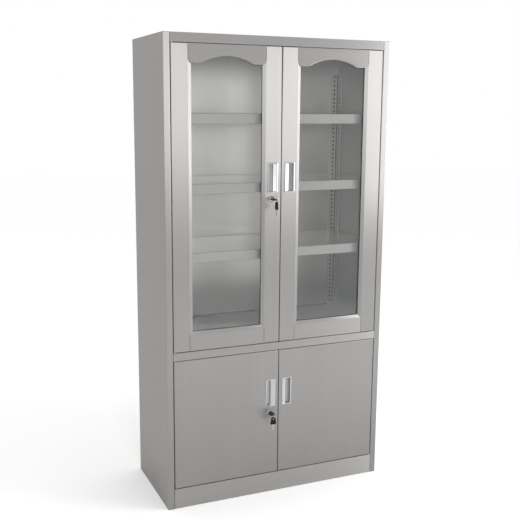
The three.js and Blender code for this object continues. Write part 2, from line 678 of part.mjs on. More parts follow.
// Left glazed door: two stiles, the arched rail, the bottom rail, the pane and its rubber channel.
function upperDoor(side, hasLock) {
  const lockZ = UPPER_HANDLE_Z - LOCK_DROP;
  const holes = [handleHole(UPPER_HANDLE_Z), ...(hasLock ? [lockHole(lockZ)] : [])];
  const bevelled = cut(glazedFace(BEVEL), ...holes);
  const rolled = glazedFace(ARCH_ROLL);
  for (const [member, area] of Object.entries(frameAreas())) {
    const slab = frontPrism(shapeOf(area), FRONT - SHEET, DOOR_REAR + SHEET);
    const face = member === 'arch_rail' ? rolled : bevelled;
    addSided(`upper_${side}_${member}`, side, common(face, slab), MATERIALS.steel);
  }
  const grow = (by) => [
    [SIGHT.left - GLASS_LAP - by, SIGHT.right + GLASS_LAP + by],
    [SIGHT.bottom - GLASS_LAP - by, SIGHT.shoulder + ARCH_RISE + GLASS_LAP + by],
  ];
  const gasketFront = BEVEL_END + SEAM;
  const grooveFront = gasketFront + GASKET_LEG;
  const glassFront = grooveFront + SEAM;
  const grooveRear = glassFront + GLASS_THICKNESS + SEAM;
  const gasketRear = grooveRear + GASKET_LEG;
  const slab = (by, y0, y1) => {
    const [x, z] = grow(by);
    return box(x, [y0, y1], z);
  };
  const channel = cut(
    slab(SEAM + GASKET_WALL, gasketFront, gasketRear),
    slab(SEAM, grooveFront, grooveRear),
    slab(-GASKET_GRIP, gasketFront - SHEET, gasketRear + SHEET),
  );
  addSided(`upper_${side}_gasket`, side, channel, MATERIALS.rubber);
  addSided(`upper_${side}_glass`, side, slab(0, glassFront, glassFront + GLASS_THICKNESS), MATERIALS.glass);
  addSided(`upper_${side}_handle`, side, handle(UPPER_HANDLE_Z), MATERIALS.chrome);
}

// Left plain door: one folded pan and its pull.
function lowerDoor(side, hasLock) {
  const lockZ = LOWER_HANDLE_Z - LOCK_DROP;
  const holes = [handleHole(LOWER_HANDLE_Z), ...(hasLock ? [lockHole(lockZ)] : [])];
  addSided(`lower_${side}_door_pan`, side, cut(doorPan(LOWER), ...holes), MATERIALS.steel);
  addSided(`lower_${side}_handle`, side, handle(LOWER_HANDLE_Z), MATERIALS.chrome);
}

// A key lying in plan with its ring hole at the origin and its blade towards +Y.
function keyBlank() {
  const corner = KEY_HALF_WIDTH - KEY_CORNER;
  const head = new THREE.Shape();
  head.moveTo(BLADE_WIDTH / 2, KEY_SHOULDER);
  head.lineTo(corner, KEY_SHOULDER);
  head.quadraticCurveTo(KEY_HALF_WIDTH, KEY_SHOULDER, KEY_HALF_WIDTH, KEY_SHOULDER - KEY_CORNER);
  head.bezierCurveTo(KEY_HALF_WIDTH, KEY_FLARE, KEY_END_RADIUS, KEY_FLARE / 2, KEY_END_RADIUS, 0);
  head.absarc(0, 0, KEY_END_RADIUS, 0, -Math.PI, true);
  head.bezierCurveTo(-KEY_END_RADIUS, KEY_FLARE / 2, -KEY_HALF_WIDTH, KEY_FLARE,
    -KEY_HALF_WIDTH, KEY_SHOULDER - KEY_CORNER);
  head.quadraticCurveTo(-KEY_HALF_WIDTH, KEY_SHOULDER, -corner, KEY_SHOULDER);
  const ringHole = new THREE.Path();
  ringHole.absarc(0, 0, KEY_HOLE_RADIUS, 0, 2 * Math.PI, false);
  head.holes.push(ringHole);
  const [half, tip] = [BLADE_WIDTH / 2, KEY_SHOULDER + BLADE_LENGTH];
  const blade = shapeOf([
    [half, KEY_SHOULDER - BLADE_ROOT],
    [half, tip - BLADE_TIP],
    [half - BLADE_TIP, tip],
    [BLADE_TIP - half, tip],
    [-half, tip - BLADE_TIP],
    [-half, KEY_SHOULDER - BLADE_ROOT],
  ]);
  return join(
    extruded(head, -KEY_HEAD_THICKNESS / 2, KEY_HEAD_THICKNESS / 2),
    extruded(blade, -BLADE_THICKNESS / 2, BLADE_THICKNESS / 2),
  );
}

// Lock of a left door: barrel, plug, cam, the key in it, and a spare key on a ring through its head.
// The ring crosses the key's hole beside its middle and hangs to the side that the turn gives,
// and the spare hangs square to the ring.
function lock(level, z, ringTurn) {
  const tailEnd = DOOR_REAR + TAIL_LENGTH;
  const barrel = onLockAxis([
    [PLUG_RADIUS + SEAM, LOCK_FRONT],
    [PLUG_RADIUS + SEAM, BARREL_REAR],
    [BARREL_RADIUS, BARREL_REAR],
    [BARREL_RADIUS, PLATE_REAR],
    [LOCK_FACE_RADIUS, PLATE_REAR],
    [LOCK_FACE_RADIUS, PLATE_REAR - LOCK_STEP],
    [LOCK_STEP_RADIUS, LOCK_FRONT],
    [PLUG_RADIUS + SEAM, LOCK_FRONT],
  ], z);
  add(`${level}_lock_barrel`, barrel, MATERIALS.chrome);

  const plugFront = LOCK_FRONT - SEAM;
  const keyHoleY = LOCK_FRONT - KEY_STANDOFF - KEY_SHOULDER;
  const bladeTip = keyHoleY + KEY_SHOULDER + BLADE_LENGTH;
  const plugBody = onLockAxis([
    [0, plugFront],
    [PLUG_RADIUS, plugFront],
    [PLUG_RADIUS, BARREL_REAR],
    [TAIL_RADIUS, BARREL_REAR],
    [TAIL_RADIUS, tailEnd],
    [0, tailEnd],
  ].reverse(), z);
  const [wayX, wayZ] = [BLADE_WIDTH / 2 + KEYWAY_CLEARANCE, BLADE_THICKNESS / 2 + KEYWAY_CLEARANCE];
  const keyway = box(
    [LOCK_X - wayX, LOCK_X + wayX],
    [plugFront - SHEET, bladeTip + SEAM],
    [z - wayZ, z + wayZ],
  );
  add(`${level}_lock_plug`, cut(plugBody, keyway), MATERIALS.chrome);

  const camFront = DOOR_REAR + CAM_GAP;
  const reach = CAM_LENGTH - CAM_RADIUS;
  const camShape = new THREE.Shape();
  camShape.absarc(0, 0, CAM_RADIUS, 0, Math.PI, false);
  camShape.absarc(0, -reach, CAM_RADIUS, Math.PI, 2 * Math.PI, false);
  const tailHole = new THREE.Path();
  tailHole.absarc(0, 0, TAIL_RADIUS + SEAM, 0, 2 * Math.PI, true);
  camShape.holes.push(tailHole);
  const cam = frontPrism(camShape, camFront, camFront + CAM_SHEET).translate(LOCK_X, 0, z);
  add(`${level}_lock_cam`, cam, MATERIALS.zinc);

  const head = new THREE.Group();
  head.position.set(LOCK_X, keyHoleY, z);
  cabinet.add(head);
  add(`${level}_key`, keyBlank(), MATERIALS.blackPlastic, head);

  const bunch = new THREE.Group();
  bunch.rotation.z = ringTurn;
  head.add(bunch);
  const ringX = Math.sqrt(RING_RADIUS ** 2 - RING_DROP ** 2) - RING_CROSSING;
  const wire = new THREE.TorusGeometry(RING_RADIUS, RING_WIRE, RING_SIDES, RING_STEPS);
  const ring = add(`${level}_key_ring`, wire, MATERIALS.chrome, bunch);
  ring.rotation.x = Math.PI / 2;
  ring.position.set(ringX, 0, -RING_DROP);
  const spare = add(`${level}_spare_key`, keyBlank(), MATERIALS.blackPlastic, bunch);
  spare.rotation.set(-Math.PI / 2, 0, Math.PI / 2, 'ZXY');
  const spareDrop = RING_DROP + RING_RADIUS + KEY_HOLE_RADIUS - RING_WIRE - RING_HANG;
  spare.position.set(ringX, 0, -spareDrop);
}

// Magnetic catch behind a right door's top edge, fixed under the rail above.
function magneticCatch(railBottom) {
  const [x0, x1] = [DOOR_INNER + CATCH_OFFSET, DOOR_INNER + CATCH_OFFSET + CATCH_WIDTH];
  const [top, front] = [railBottom - SEAM, DOOR_REAR + SEAM];
  const middle = top - CATCH_HEIGHT / 2;
  return join(
    box([x0, x1], [front + CATCH_POLE, front + CATCH_DEPTH], [top - CATCH_HEIGHT, top]),
    box([x0 + CATCH_POLE_INSET, x1 - CATCH_POLE_INSET], [front, front + CATCH_DEPTH],
      [middle - CATCH_POLE_HEIGHT / 2, middle + CATCH_POLE_HEIGHT / 2]),
  );
}

add('top_panel', topPanel(), MATERIALS.steel);
add('middle_deck', middleDeck(), MATERIALS.steel);
add('bottom_panel', bottomPanel(), MATERIALS.steel);
add('plinth', plinth(), MATERIALS.steel);
const backSheet = box([-INNER_HALF, INNER_HALF], [BACK_PANEL_REAR - SHEET, BACK_PANEL_REAR], [0, SIDE_TOP]);
add('back_panel', backSheet, MATERIALS.innerSteel);

const shelfTops = SHELF_SLOTS.map((slot) => slotHeight(slot) + SHELF_ABOVE_SLOT);
shelfTops.forEach((top, index) => {
  const tray = shelf(HANGER_INNER - SEAM, SHELF_REAR, top);
  add(`upper_shelf_${index + 1}`, tray, MATERIALS.innerSteel);
});
add('lower_shelf', shelf(INNER_HALF, INNER_BACK, LOWER_SHELF_TOP), MATERIALS.innerSteel);

for (const side of ['left', 'right']) {
  const hasLock = side === 'left';
  addSided(`${side}_side_panel`, side, sidePanel(), MATERIALS.steel);
  addSided(`${side}_front_upright`, side, frontUpright(), MATERIALS.innerSteel);
  addSided(`${side}_rear_upright`, side, rearUpright(), MATERIALS.innerSteel);
  shelfTops.forEach((top, index) => {
    addSided(`${side}_shelf_hanger_${index + 1}`, side, hanger(top), MATERIALS.innerSteel);
  });
  const pins = {
    top: [UPPER.top - PIN_REACH, FASCIA_BOTTOM + SHEET + PIN_RADIUS, [UPPER.top]],
    middle: [LOWER.top - PIN_REACH, UPPER.bottom + PIN_REACH, [LOWER.top, RAIL_TOP]],
    bottom: [BASE_TOP - PIN_REACH, LOWER.bottom + PIN_REACH, [BASE_TOP]],
  };
  for (const [place, [low, high, gaps]] of Object.entries(pins)) {
    addSided(`${side}_${place}_hinge_pin`, side, pivotPin(low, high, gaps), MATERIALS.zinc);
  }
  upperDoor(side, hasLock);
  lowerDoor(side, hasLock);
}

// The upper spare key hangs beside its key, edge on from the front; the lower one hangs flat to the front.
lock('upper', UPPER_HANDLE_Z - LOCK_DROP, 0);
lock('lower', LOWER_HANDLE_Z - LOCK_DROP, -Math.PI / 2);

add('upper_magnetic_catch', magneticCatch(FASCIA_BOTTOM), MATERIALS.blackPlastic);
add('lower_magnetic_catch', magneticCatch(RAIL_BOTTOM), MATERIALS.blackPlastic);

export default cabinet;
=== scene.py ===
"""Looks of a stainless steel medical cabinet with arched glass doors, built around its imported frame.

Every size is in metres. Panels are sheets folded along a line, doors are rims, plates and bevels,
and pulls, locks and keys are stacks of rings. Places come from the boxes of the frame's nodes.
"""
import logging
from dataclasses import dataclass
from enum import Enum
from typing import Any, Iterable, NamedTuple, Sequence, Union

import bpy
import numpy as np
from mathutils import Matrix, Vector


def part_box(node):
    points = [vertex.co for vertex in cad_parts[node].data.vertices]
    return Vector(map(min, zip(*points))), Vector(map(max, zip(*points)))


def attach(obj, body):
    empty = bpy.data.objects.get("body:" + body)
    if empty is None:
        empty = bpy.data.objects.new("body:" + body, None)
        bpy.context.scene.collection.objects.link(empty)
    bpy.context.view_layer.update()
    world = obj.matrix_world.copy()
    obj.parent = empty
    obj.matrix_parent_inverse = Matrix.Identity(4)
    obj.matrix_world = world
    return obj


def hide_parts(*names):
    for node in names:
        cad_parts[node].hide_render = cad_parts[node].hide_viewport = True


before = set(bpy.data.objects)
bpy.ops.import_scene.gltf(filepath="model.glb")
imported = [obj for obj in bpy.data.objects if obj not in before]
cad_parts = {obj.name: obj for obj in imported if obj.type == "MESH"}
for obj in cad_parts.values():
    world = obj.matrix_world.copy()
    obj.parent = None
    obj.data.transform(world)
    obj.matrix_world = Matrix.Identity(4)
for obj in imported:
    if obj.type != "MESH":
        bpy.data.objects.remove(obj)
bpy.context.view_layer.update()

MM = 0.001
SHEET = 1.0 * MM
HALF = SHEET / 2
DOOR_SHEET = 1.2 * MM
HALF_DOOR = DOOR_SHEET / 2
SEAM = 0.3 * MM
BEND_STEPS = 6
BEND_SUPPORT = 0.4 * MM
SHARP_ANGLE = np.radians(32)
SHADED_COLOUR = (0.02, 0.02, 0.02)
FACING_UP = (0.6, 0.9)
FACING_FRONT = (-0.97, -0.99)
UPRIGHT_DEPTH = 5.5 * MM
UPRIGHT_SHEET = 1.2 * MM
BACK_LEG_GAP = 3 * MM

log = logging.getLogger("cabinet")

Material = bpy.types.Material
Number = Union[float, "Wire"]
Colour = tuple[float, float, float]
Point = tuple[float, float]


class Slot(Enum):
    """Names of the material slots."""

    STEEL = "brushed_steel_panels"
    INNER = "inner_steel"
    CHROME = "chrome_fittings"
    ZINC = "zinc_hardware"
    GLASS = "clear_glass"
    RUBBER = "black_rubber"
    PLASTIC = "black_plastic"


class Side(Enum):
    """Side of the cabinet, with the sign that takes a left-hand shape there."""

    LEFT = 1
    RIGHT = -1

    @property
    def word(self) -> str:
        """The side as it stands in node names."""
        return self.name.lower()


class Grain(Enum):
    """Way the brushing runs: strokes per metre along X, Y and Z, and the turn of the highlight."""

    UPRIGHT = ((1.0, 1.0, 0.006), 0.0)
    LEVEL = ((0.006, 1.0, 1.0), 0.25)


class Hang(Enum):
    """How a key lies: where its width, its blade and its thickness point."""

    IN_LOCK = ((1, 0, 0), (0, 1, 0), (0, 0, 1))
    EDGE_ON = ((0, 1, 0), (0, 0, -1), (1, 0, 0))
    FACING = ((1, 0, 0), (0, 0, -1), (0, 1, 0))


class Extent(NamedTuple):
    """Lowest and highest corners of one or more nodes at rest."""

    low: np.ndarray
    high: np.ndarray

    @classmethod
    def of(cls, *nodes: str) -> "Extent":
        """Box round some nodes of the frame.

        Args:
            nodes: Names of the nodes.

        Returns:
            Their common box.
        """
        corners = np.array([[tuple(corner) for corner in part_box(node)] for node in nodes])
        return cls(corners[:, 0].min(axis=0), corners[:, 1].max(axis=0))

    @property
    def middle(self) -> np.ndarray:
        """Centre of the box."""
        return (self.low + self.high) / 2

    @property
    def size(self) -> np.ndarray:
        """Lengths of the box's sides."""
        return self.high - self.low


class Wire:
    """A shader socket that takes part in Python arithmetic through Math nodes."""

    def __init__(self, recipe: "Recipe", socket: bpy.types.NodeSocket) -> None:
        """Wrap one output socket of a recipe's node."""
        self.recipe = recipe
        self.socket = socket

    def _math(self, operation: str, first: Number, second: Number) -> "Wire":
        """Result of a Math node on two values."""
        return self.recipe.node("ShaderNodeMath", {"operation": operation}, {0: first, 1: second})

    def __add__(self, other: Number) -> "Wire":
        """Sum."""
        return self._math("ADD", self, other)

    __radd__ = __add__

    def __sub__(self, other: Number) -> "Wire":
        """Difference."""
        return self._math("SUBTRACT", self, other)

    def __mul__(self, other: Number) -> "Wire":
        """Product."""
        return self._math("MULTIPLY", self, other)

    __rmul__ = __mul__

    def __pow__(self, other: Number) -> "Wire":
        """Power."""
        return self._math("POWER", self, other)


class Recipe:
    """Node tree of one material, with its shader and the nodes that finishes share."""

    def __init__(self, name: str) -> None:
        """Make an empty material whose surface is one Principled shader.

        Args:
            name: The material's name.
        """
        self.material = bpy.data.materials.new(name)
        self.material.use_nodes = True
        self.tree = self.material.node_tree
        self.shader = self.tree.nodes["Principled BSDF"]

    def _feed(self, socket: bpy.types.NodeSocket, value: Any) -> None:
        """Link a wire to a socket, or set the socket to a plain value.

        Args:
            socket: Input of a node.
            value: The wire or value.
        """
        if isinstance(value, Wire):
            self.tree.links.new(value.socket, socket)
        else:
            socket.default_value = value

    def node(self, kind: str, settings: dict[str, Any], inputs: dict[Any, Any], output: Any = 0) -> Wire:
        """Add any node.

        Args:
            kind: The node's type.
            settings: Properties of the node, set before its sockets.
            inputs: Values or wires by the socket's name or number.
            output: Name or number of the wanted output.

        Returns:
            That output.
        """
        node = self.tree.nodes.new(kind)
        for name, value in settings.items():
            setattr(node, name, value)
        for name, value in inputs.items():
            self._feed(node.inputs[name], value)
        return Wire(self, node.outputs[output])

    def place(self, stretch: tuple[float, float, float] = (1.0, 1.0, 1.0)) -> Wire:
        """Object coordinates, scaled along each axis."""
        place = self.node("ShaderNodeTexCoord", {}, {}, "Object")
        return self.node("ShaderNodeMapping", {}, {"Vector": place, "Scale": stretch})

    def noise(self, place: Wire, scale: float, detail: float = 2.0) -> Wire:
        """Soft noise from 0 to 1 at a number of spots per metre."""
        return self.node("ShaderNodeTexNoise", {}, {"Vector": place, "Scale": scale, "Detail": detail})

    def axis(self, output: str, name: str) -> Wire:
        """One axis of the Object coordinates or of the Normal, in the piece's own frame."""
        vector = self.node("ShaderNodeTexCoord", {}, {}, output)
        return self.node("ShaderNodeSeparateXYZ", {}, {"Vector": vector}, name)

    def ramp(self, value: Wire, start: float, stop: float) -> Wire:
        """A share that rises from 0 to 1 as a value goes from start to stop."""
        ends = {"Value": value, "From Min": start, "From Max": stop}
        return self.node("ShaderNodeMapRange", {"interpolation_type": "SMOOTHSTEP"}, ends)

    def facing_up(self) -> Wire:
        """Share of 1 on level faces that look up, and 0 on upright ones."""
        return self.ramp(self.axis("Normal", "Z"), *FACING_UP)

    def blend(self, share: Wire, first: Any, second: Any) -> Wire:
        """Colour between two colours, each a plain colour or a wire."""
        ends = [end if isinstance(end, Wire) else (*end, 1.0) for end in (first, second)]
        return self.node("ShaderNodeMix", {"data_type": "RGBA"}, {0: share, 6: ends[0], 7: ends[1]}, 2)

    def relief(self, height: Wire, strength: float, depth: float) -> Wire:
        """Bumped normal from a height."""
        return self.node("ShaderNodeBump", {}, {"Height": height, "Strength": strength, "Distance": depth})

    def finish(self, **sockets: Any) -> Material:
        """Set the shader's sockets.

        Args:
            sockets: Values or wires by the socket's name, with _ for a space.

        Returns:
            The finished material.
        """
        for name, value in sockets.items():
            self._feed(self.shader.inputs[name.replace("_", " ")], value)
        return self.material


def shade(colour: Colour, factor: float) -> Colour:
    """A colour made lighter or darker by a factor."""
    return tuple(min(channel * factor, 1.0) for channel in colour)


@dataclass(frozen=True)
class Shaded:
    """Stretch of a sheet that little light reaches, alike on both sides of the cabinet."""

    low: Sequence[float]
    high: Sequence[float]
    edge: float = 0.3 * MM

    def share(self, recipe: Recipe) -> Wire:
        """Share of 1 between the two corners, with x counted from the middle plane outwards.

        Args:
            recipe: The recipe to add its nodes to.

        Returns:
            The product of a rise and a fall along each axis.
        """
        across = recipe.node("ShaderNodeMath", {"operation": "ABSOLUTE"}, {0: recipe.axis("Object", "X")})
        places = (across, recipe.axis("Object", "Y"), recipe.axis("Object", "Z"))
        share = 1.0
        for place, low, high in zip(places, self.low, self.high):
            share = recipe.ramp(place, float(low), float(low) + self.edge) * share
            share = recipe.ramp(place, float(high), float(high) - self.edge) * share
        return share


@dataclass(frozen=True)
class BrushedSteel:
    """Stainless sheet brushed one way: fine strokes, broad streaks and faint smudges.

    Faces that look up may carry painted light or painted shade and be smoother, and stretches out of the
    light carry painted shade.
    """

    name: str
    grain: Grain
    colour: Colour = (0.306, 0.299, 0.292)
    roughness: float = 0.42
    stroke_density: float = 1500.0
    streak_density: float = 130.0
    smudge_density: float = 4.0
    shares: Colour = (0.45, 0.4, 0.15)
    streak_depth: float = 0.12
    stroke_roughness: float = 0.16
    smudge_roughness: float = 0.12
    relief: float = 0.12
    stretch_of_highlight: float = 0.9
    # Factor on the colour of faces that look up: painted light above 1, painted shade below 1.
    painted_top_light: float = 1.0
    level_polish: float = 0.0
    metallic: float = 1.0
    shaded: tuple[Shaded, ...] = ()

    def material(self) -> Material:
        """Make the material.

        Returns:
            The material.
        """
        recipe = Recipe(self.name)
        stretch, turn = self.grain.value
        along = recipe.place(stretch)
        strokes = recipe.noise(along, self.stroke_density, 3.0)
        streaks = recipe.noise(along, self.streak_density, 4.0)
        smudges = recipe.noise(recipe.place(), self.smudge_density, 3.0)
        of_stroke, of_streak, of_smudge = self.shares
        share = strokes * of_stroke + streaks * of_streak + smudges * of_smudge
        light, dark = 1 + self.streak_depth, 1 - self.streak_depth
        colour = recipe.blend(share, shade(self.colour, dark), shade(self.colour, light))
        rough_strokes = (strokes - 0.5) * self.stroke_roughness
        roughness = self.roughness + rough_strokes + (smudges - 0.5) * self.smudge_roughness
        metallic = self.metallic
        # Painted light or painted shade on faces that look up: their colour is scaled by a factor.
        if self.painted_top_light != 1.0:
            painted_top_colour = shade(self.colour, self.painted_top_light)
            level = recipe.blend(share, shade(painted_top_colour, dark), shade(painted_top_colour, light))
            up = recipe.facing_up()
            colour = recipe.blend(up, colour, level)
            if self.level_polish:
                roughness = roughness - up * self.level_polish
            if self.metallic < 1.0:
                metallic = up * (1 - self.metallic) + self.metallic
        for shadow in self.shaded:
            colour = recipe.blend(shadow.share(recipe), colour, SHADED_COLOUR)
        return recipe.finish(
            Base_Color=colour,
            Roughness=roughness,
            Normal=recipe.relief(strokes, self.relief, 0.05 * MM),
            Metallic=metallic,
            Anisotropic=self.stretch_of_highlight,
            Anisotropic_Rotation=turn,
        )


@dataclass(frozen=True)
class PolishedPlate:
    """Bright plated metal with faint rub marks; set back and facing the front it is rougher, and its colour
    there is darkened as painted shade.
    """

    name: str = "bright_chrome"
    colour: Colour = (0.62, 0.625, 0.63)
    recess_painted_shade: Colour = (0.33, 0.332, 0.335)
    roughness: float = 0.16
    recess_roughness: float = 0.34
    recess_from: float = -6 * MM
    recess_to: float = -2 * MM
    rub_density: float = 900.0
    rub_roughness: float = 0.1
    cloud_density: float = 60.0

    def material(self) -> Material:
        """Make the material.

        Returns:
            The material.
        """
        recipe = Recipe(self.name)
        rub = recipe.noise(recipe.place((1.0, 1.0, 0.2)), self.rub_density, 3.0)
        cloud = recipe.noise(recipe.place(), self.cloud_density)
        share = rub * 0.5 + cloud * 0.5
        bright = recipe.blend(share, shade(self.colour, 0.86), shade(self.colour, 1.1))
        # Painted shade: a darker copy of the plate's colour for the set-back faces.
        deep_painted_shade = recipe.blend(share, shade(self.recess_painted_shade, 0.8), shade(self.recess_painted_shade, 1.2))
        to_front = recipe.ramp(recipe.axis("Normal", "Y"), *FACING_FRONT)
        # Mask of set-back faces that look to the front: real roughness there, and painted shade in the
        # colour.
        deep_rough_and_painted_shade = recipe.ramp(recipe.axis("Object", "Y"), self.recess_from, self.recess_to) * to_front
        roughness = self.roughness + deep_rough_and_painted_shade * (self.recess_roughness - self.roughness)
        return recipe.finish(
            Base_Color=recipe.blend(deep_rough_and_painted_shade, bright, deep_painted_shade),
            Roughness=roughness + (rub - 0.5) * self.rub_roughness,
            Normal=recipe.relief(cloud, 0.05, 0.1 * MM),
            Metallic=1.0,
        )


@dataclass(frozen=True)
class ZincPlate:
    """Zinc plated steel with a mottled, slightly warm bloom."""

    name: str = "zinc_plate"
    cool: Colour = (0.36, 0.37, 0.37)
    warm: Colour = (0.46, 0.44, 0.38)
    roughness: float = 0.34
    bloom_roughness: float = 0.22
    bloom_density: float = 260.0

    def material(self) -> Material:
        """Make the material.

        Returns:
            The material.
        """
        recipe = Recipe(self.name)
        bloom = recipe.noise(recipe.place(), self.bloom_density, 4.0)
        return recipe.finish(
            Base_Color=recipe.blend(bloom, self.cool, self.warm),
            Roughness=self.roughness + bloom * self.bloom_roughness,
            Normal=recipe.relief(bloom, 0.08, 0.05 * MM),
            Metallic=1.0,
        )


@dataclass(frozen=True)
class ClearGlass:
    """Float glass as a thin mirror: the share that reflects follows the glancing angle."""

    name: str = "clear_pane"
    tint: Colour = (0.93, 0.97, 0.96)
    index: float = 1.5
    mirror: float = 0.95
    film: float = 0.035
    roughness: float = 0.02

    def material(self) -> Material:
        """Make the material.

        Returns:
            The material.
        """
        recipe = Recipe(self.name)
        mirror = recipe.node("ShaderNodeFresnel", {}, {"IOR": self.index})
        film = recipe.noise(recipe.place(), 9.0, 3.0)
        return recipe.finish(
            Base_Color=(*self.tint, 1.0),
            Alpha=mirror * self.mirror + film * self.film,
            Roughness=self.roughness + film * self.roughness,
            Metallic=1.0,
        )


@dataclass(frozen=True)
class MouldedPolymer:
    """Black rubber or plastic with a fine moulded texture and paler rubbed patches."""

    name: str
    colour: Colour
    roughness: float
    pits: float
    gloss: float = 0.5
    pit_roughness: float = 0.18
    rubbed: float = 2.2

    def material(self) -> Material:
        """Make the material.

        Returns:
            The material.
        """
        recipe = Recipe(self.name)
        pits = recipe.noise(recipe.place(), self.pits, 3.0)
        wear = recipe.noise(recipe.place(), 180.0, 2.0) ** 3.0
        return recipe.finish(
            Base_Color=recipe.blend(wear, self.colour, shade(self.colour, self.rubbed)),
            Roughness=self.roughness + (pits - 0.5) * self.pit_roughness,
            Normal=recipe.relief(pits, 0.3, 0.08 * MM),
            Specular_IOR_Level=self.gloss,
        )


@dataclass(frozen=True)
class Finishes:
    """The cabinet's finished materials."""

    upright_steel: Material
    side_steel: Material
    level_steel: Material
    deck_steel: Material
    back_steel: Material
    slotted_steel: Material
    tray_steel: Material
    chrome: Material
    pull_chrome: Material
    zinc: Material
    glass: Material
    rubber: Material
    plastic: Material

    @classmethod
    def mix(cls) -> "Finishes":
        """Make every material once.

        Returns:
            The finishes, with the shaded stretches placed by the right rear upright.
        """
        inner = {"roughness": 0.4, "stretch_of_highlight": 0.6}
        upright, level = Grain.UPRIGHT, Grain.LEVEL
        # The rail, wall, strip and tray colours are lighter copies of the one steel colour: painted light
        # for pieces that get less light.
        rail, wall = (0.35, 0.341, 0.334), (0.6, 0.584, 0.558)
        strip, tray = (0.4, 0.39, 0.374), (0.4, 0.394, 0.384)
        line, floor_shade_height = 3 * MM, 6 * MM
        (x0, y0, z0), (x1, y1, z1) = Extent.of("right_rear_upright")
        web, leg = x1 - UPRIGHT_DEPTH, y1 - BACK_LEG_GAP - UPRIGHT_SHEET
        inside = Extent.of("back_panel").low[1] + HALF
        behind_leg = Shaded((x0 + SHEET, y0, z0), (x1, inside, z1))
        beside_web = Shaded((x1 - SHEET, y0 + SHEET, z0), (x1 + HALF, y1, z1))
        # Painted shade: a dark band on the back sheet just above the bay floor.
        along_floor = Shaded((-x1, y0, z0 - SHEET), (x1, inside, z0 + floor_shade_height))
        in_corner = Shaded((web - line, leg - line, z0), (web + HALF, leg + HALF, z1))
        finishes = dict(
            upright_steel=BrushedSteel("steel_brushed_upright", upright),
            side_steel=BrushedSteel("steel_brushed_side", upright, shaded=(beside_web,)),
            level_steel=BrushedSteel("steel_brushed_level", level, rail),
            # Painted shade on the deck's top faces.
            deck_steel=BrushedSteel("steel_brushed_deck", level, rail, painted_top_light=0.6),
            back_steel=BrushedSteel("steel_inner_back", upright, wall,
                                    shaded=(behind_leg, along_floor), **inner),
            slotted_steel=BrushedSteel("steel_slotted", upright, strip,
                                       shaded=(in_corner,), **inner),
            # Painted light on the tray tops.
            tray_steel=BrushedSteel("steel_tray", level, tray, 0.46, stretch_of_highlight=0.3, metallic=0.5,
                                    painted_top_light=2.0, level_polish=0.26),
            chrome=PolishedPlate(),
            pull_chrome=PolishedPlate("satin_chrome", (0.46, 0.464, 0.468), roughness=0.24),
            zinc=ZincPlate(),
            glass=ClearGlass(),
            rubber=MouldedPolymer("glazing_rubber", (0.03, 0.03, 0.032), 0.75, 700.0),
            plastic=MouldedPolymer("key_plastic", (0.006, 0.006, 0.0065), 0.42, 1800.0, 0.15),
        )
        return cls(**{name: finish.material() for name, finish in finishes.items()})


@dataclass
class Shell:
    """A closed surface: points, quads, and any end faces."""

    points: np.ndarray
    quads: np.ndarray
    ends: list[np.ndarray]

    @classmethod
    def stack(cls, rings: np.ndarray, closed: bool = False) -> "Shell":
        """Join rings of points into a surface.

        Point (i, j) of the grid is point j of ring i. Each ring closes on itself. The rings close
        on each other like a tyre, or else the first and last are filled.

        Args:
            rings: Points, as rings x points x 3.
            closed: Whether the last ring joins the first.

        Returns:
            The surface, with its faces outwards.
        """
        count, length = rings.shape[:2]
        index = np.arange(count * length).reshape(count, length)
        first = index if closed else index[:-1]
        second = np.roll(index, -1, axis=0) if closed else index[1:]
        corners = [first, np.roll(first, -1, axis=1), np.roll(second, -1, axis=1), second]
        ends = [] if closed else [index[0, ::-1], index[-1]]
        return cls(rings.reshape(-1, 3), np.stack(corners, axis=-1).reshape(-1, 4), ends).outward()

    def volume(self) -> float:
        """Signed volume: the sum of the tetrahedra from the first point to each triangle.

        Returns:
            The volume, above 0 where the faces point outwards.
        """
        fans = [np.stack([np.full(len(end) - 2, end[0]), end[1:-1], end[2:]], -1) for end in self.ends]
        triangles = np.concatenate([self.quads[:, [0, 1, 2]], self.quads[:, [0, 2, 3]], *fans])
        a, b, c = np.moveaxis((self.points - self.points[0])[triangles], 1, 0)
        return float(np.einsum("ij,ij->", a, np.cross(b, c)) / 6)

    def turned_out(self) -> "Shell":
        """The same surface with its faces the other way round."""
        return Shell(self.points, self.quads[:, ::-1], [end[::-1] for end in self.ends])

    def outward(self) -> "Shell":
        """The surface with its faces outwards."""
        return self if self.volume() > 0 else self.turned_out()

    def on(self, side: Side) -> "Shell":
        """A left-hand surface on the left, or mirrored on the right."""
        mirrored = Shell(self.points * (-1, 1, 1), self.quads, self.ends).turned_out()
        return self if side is Side.LEFT else mirrored


def make_piece(
    name: str,
    shells: Iterable[Shell],
    material: Material,
    body: str,
    replaced: Sequence[str],
) -> bpy.types.Object:
    """Make one piece from closed surfaces and let it ride on its body.

    Args:
        name: The piece's name.
        shells: Its surfaces.
        material: Its finish.
        body: The body that it moves with.
        replaced: The nodes that it stands for.

    Returns:
        The piece.
    """
    points, faces, count = [], [], 0
    for shell in shells:
        points.append(shell.points)
        faces += (shell.quads + count).tolist()
        faces += [(end + count).tolist() for end in shell.ends]
        count += len(shell.points)
    mesh = bpy.data.meshes.new(name)
    mesh.from_pydata(np.concatenate(points).tolist(), [], faces)
    mesh.shade_smooth()
    mesh.set_sharp_from_angle(angle=SHARP_ANGLE)
    mesh.materials.append(material)
    piece = bpy.data.objects.new(name, mesh)
    bpy.context.scene.collection.objects.link(piece)
    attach(piece, body)
    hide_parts(*replaced)
    log.info("%s: %d faces on %s", name, len(faces), body)
    return piece


def dress(material: Material, *nodes: str) -> None:
    """Give nodes whose own shape is right their finish.

    Args:
        material: The finish.
        nodes: Names of the nodes.
    """
    for node in nodes:
        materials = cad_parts[node].data.materials
        materials.clear()
        materials.append(material)
        log.info("%s: dressed", node)


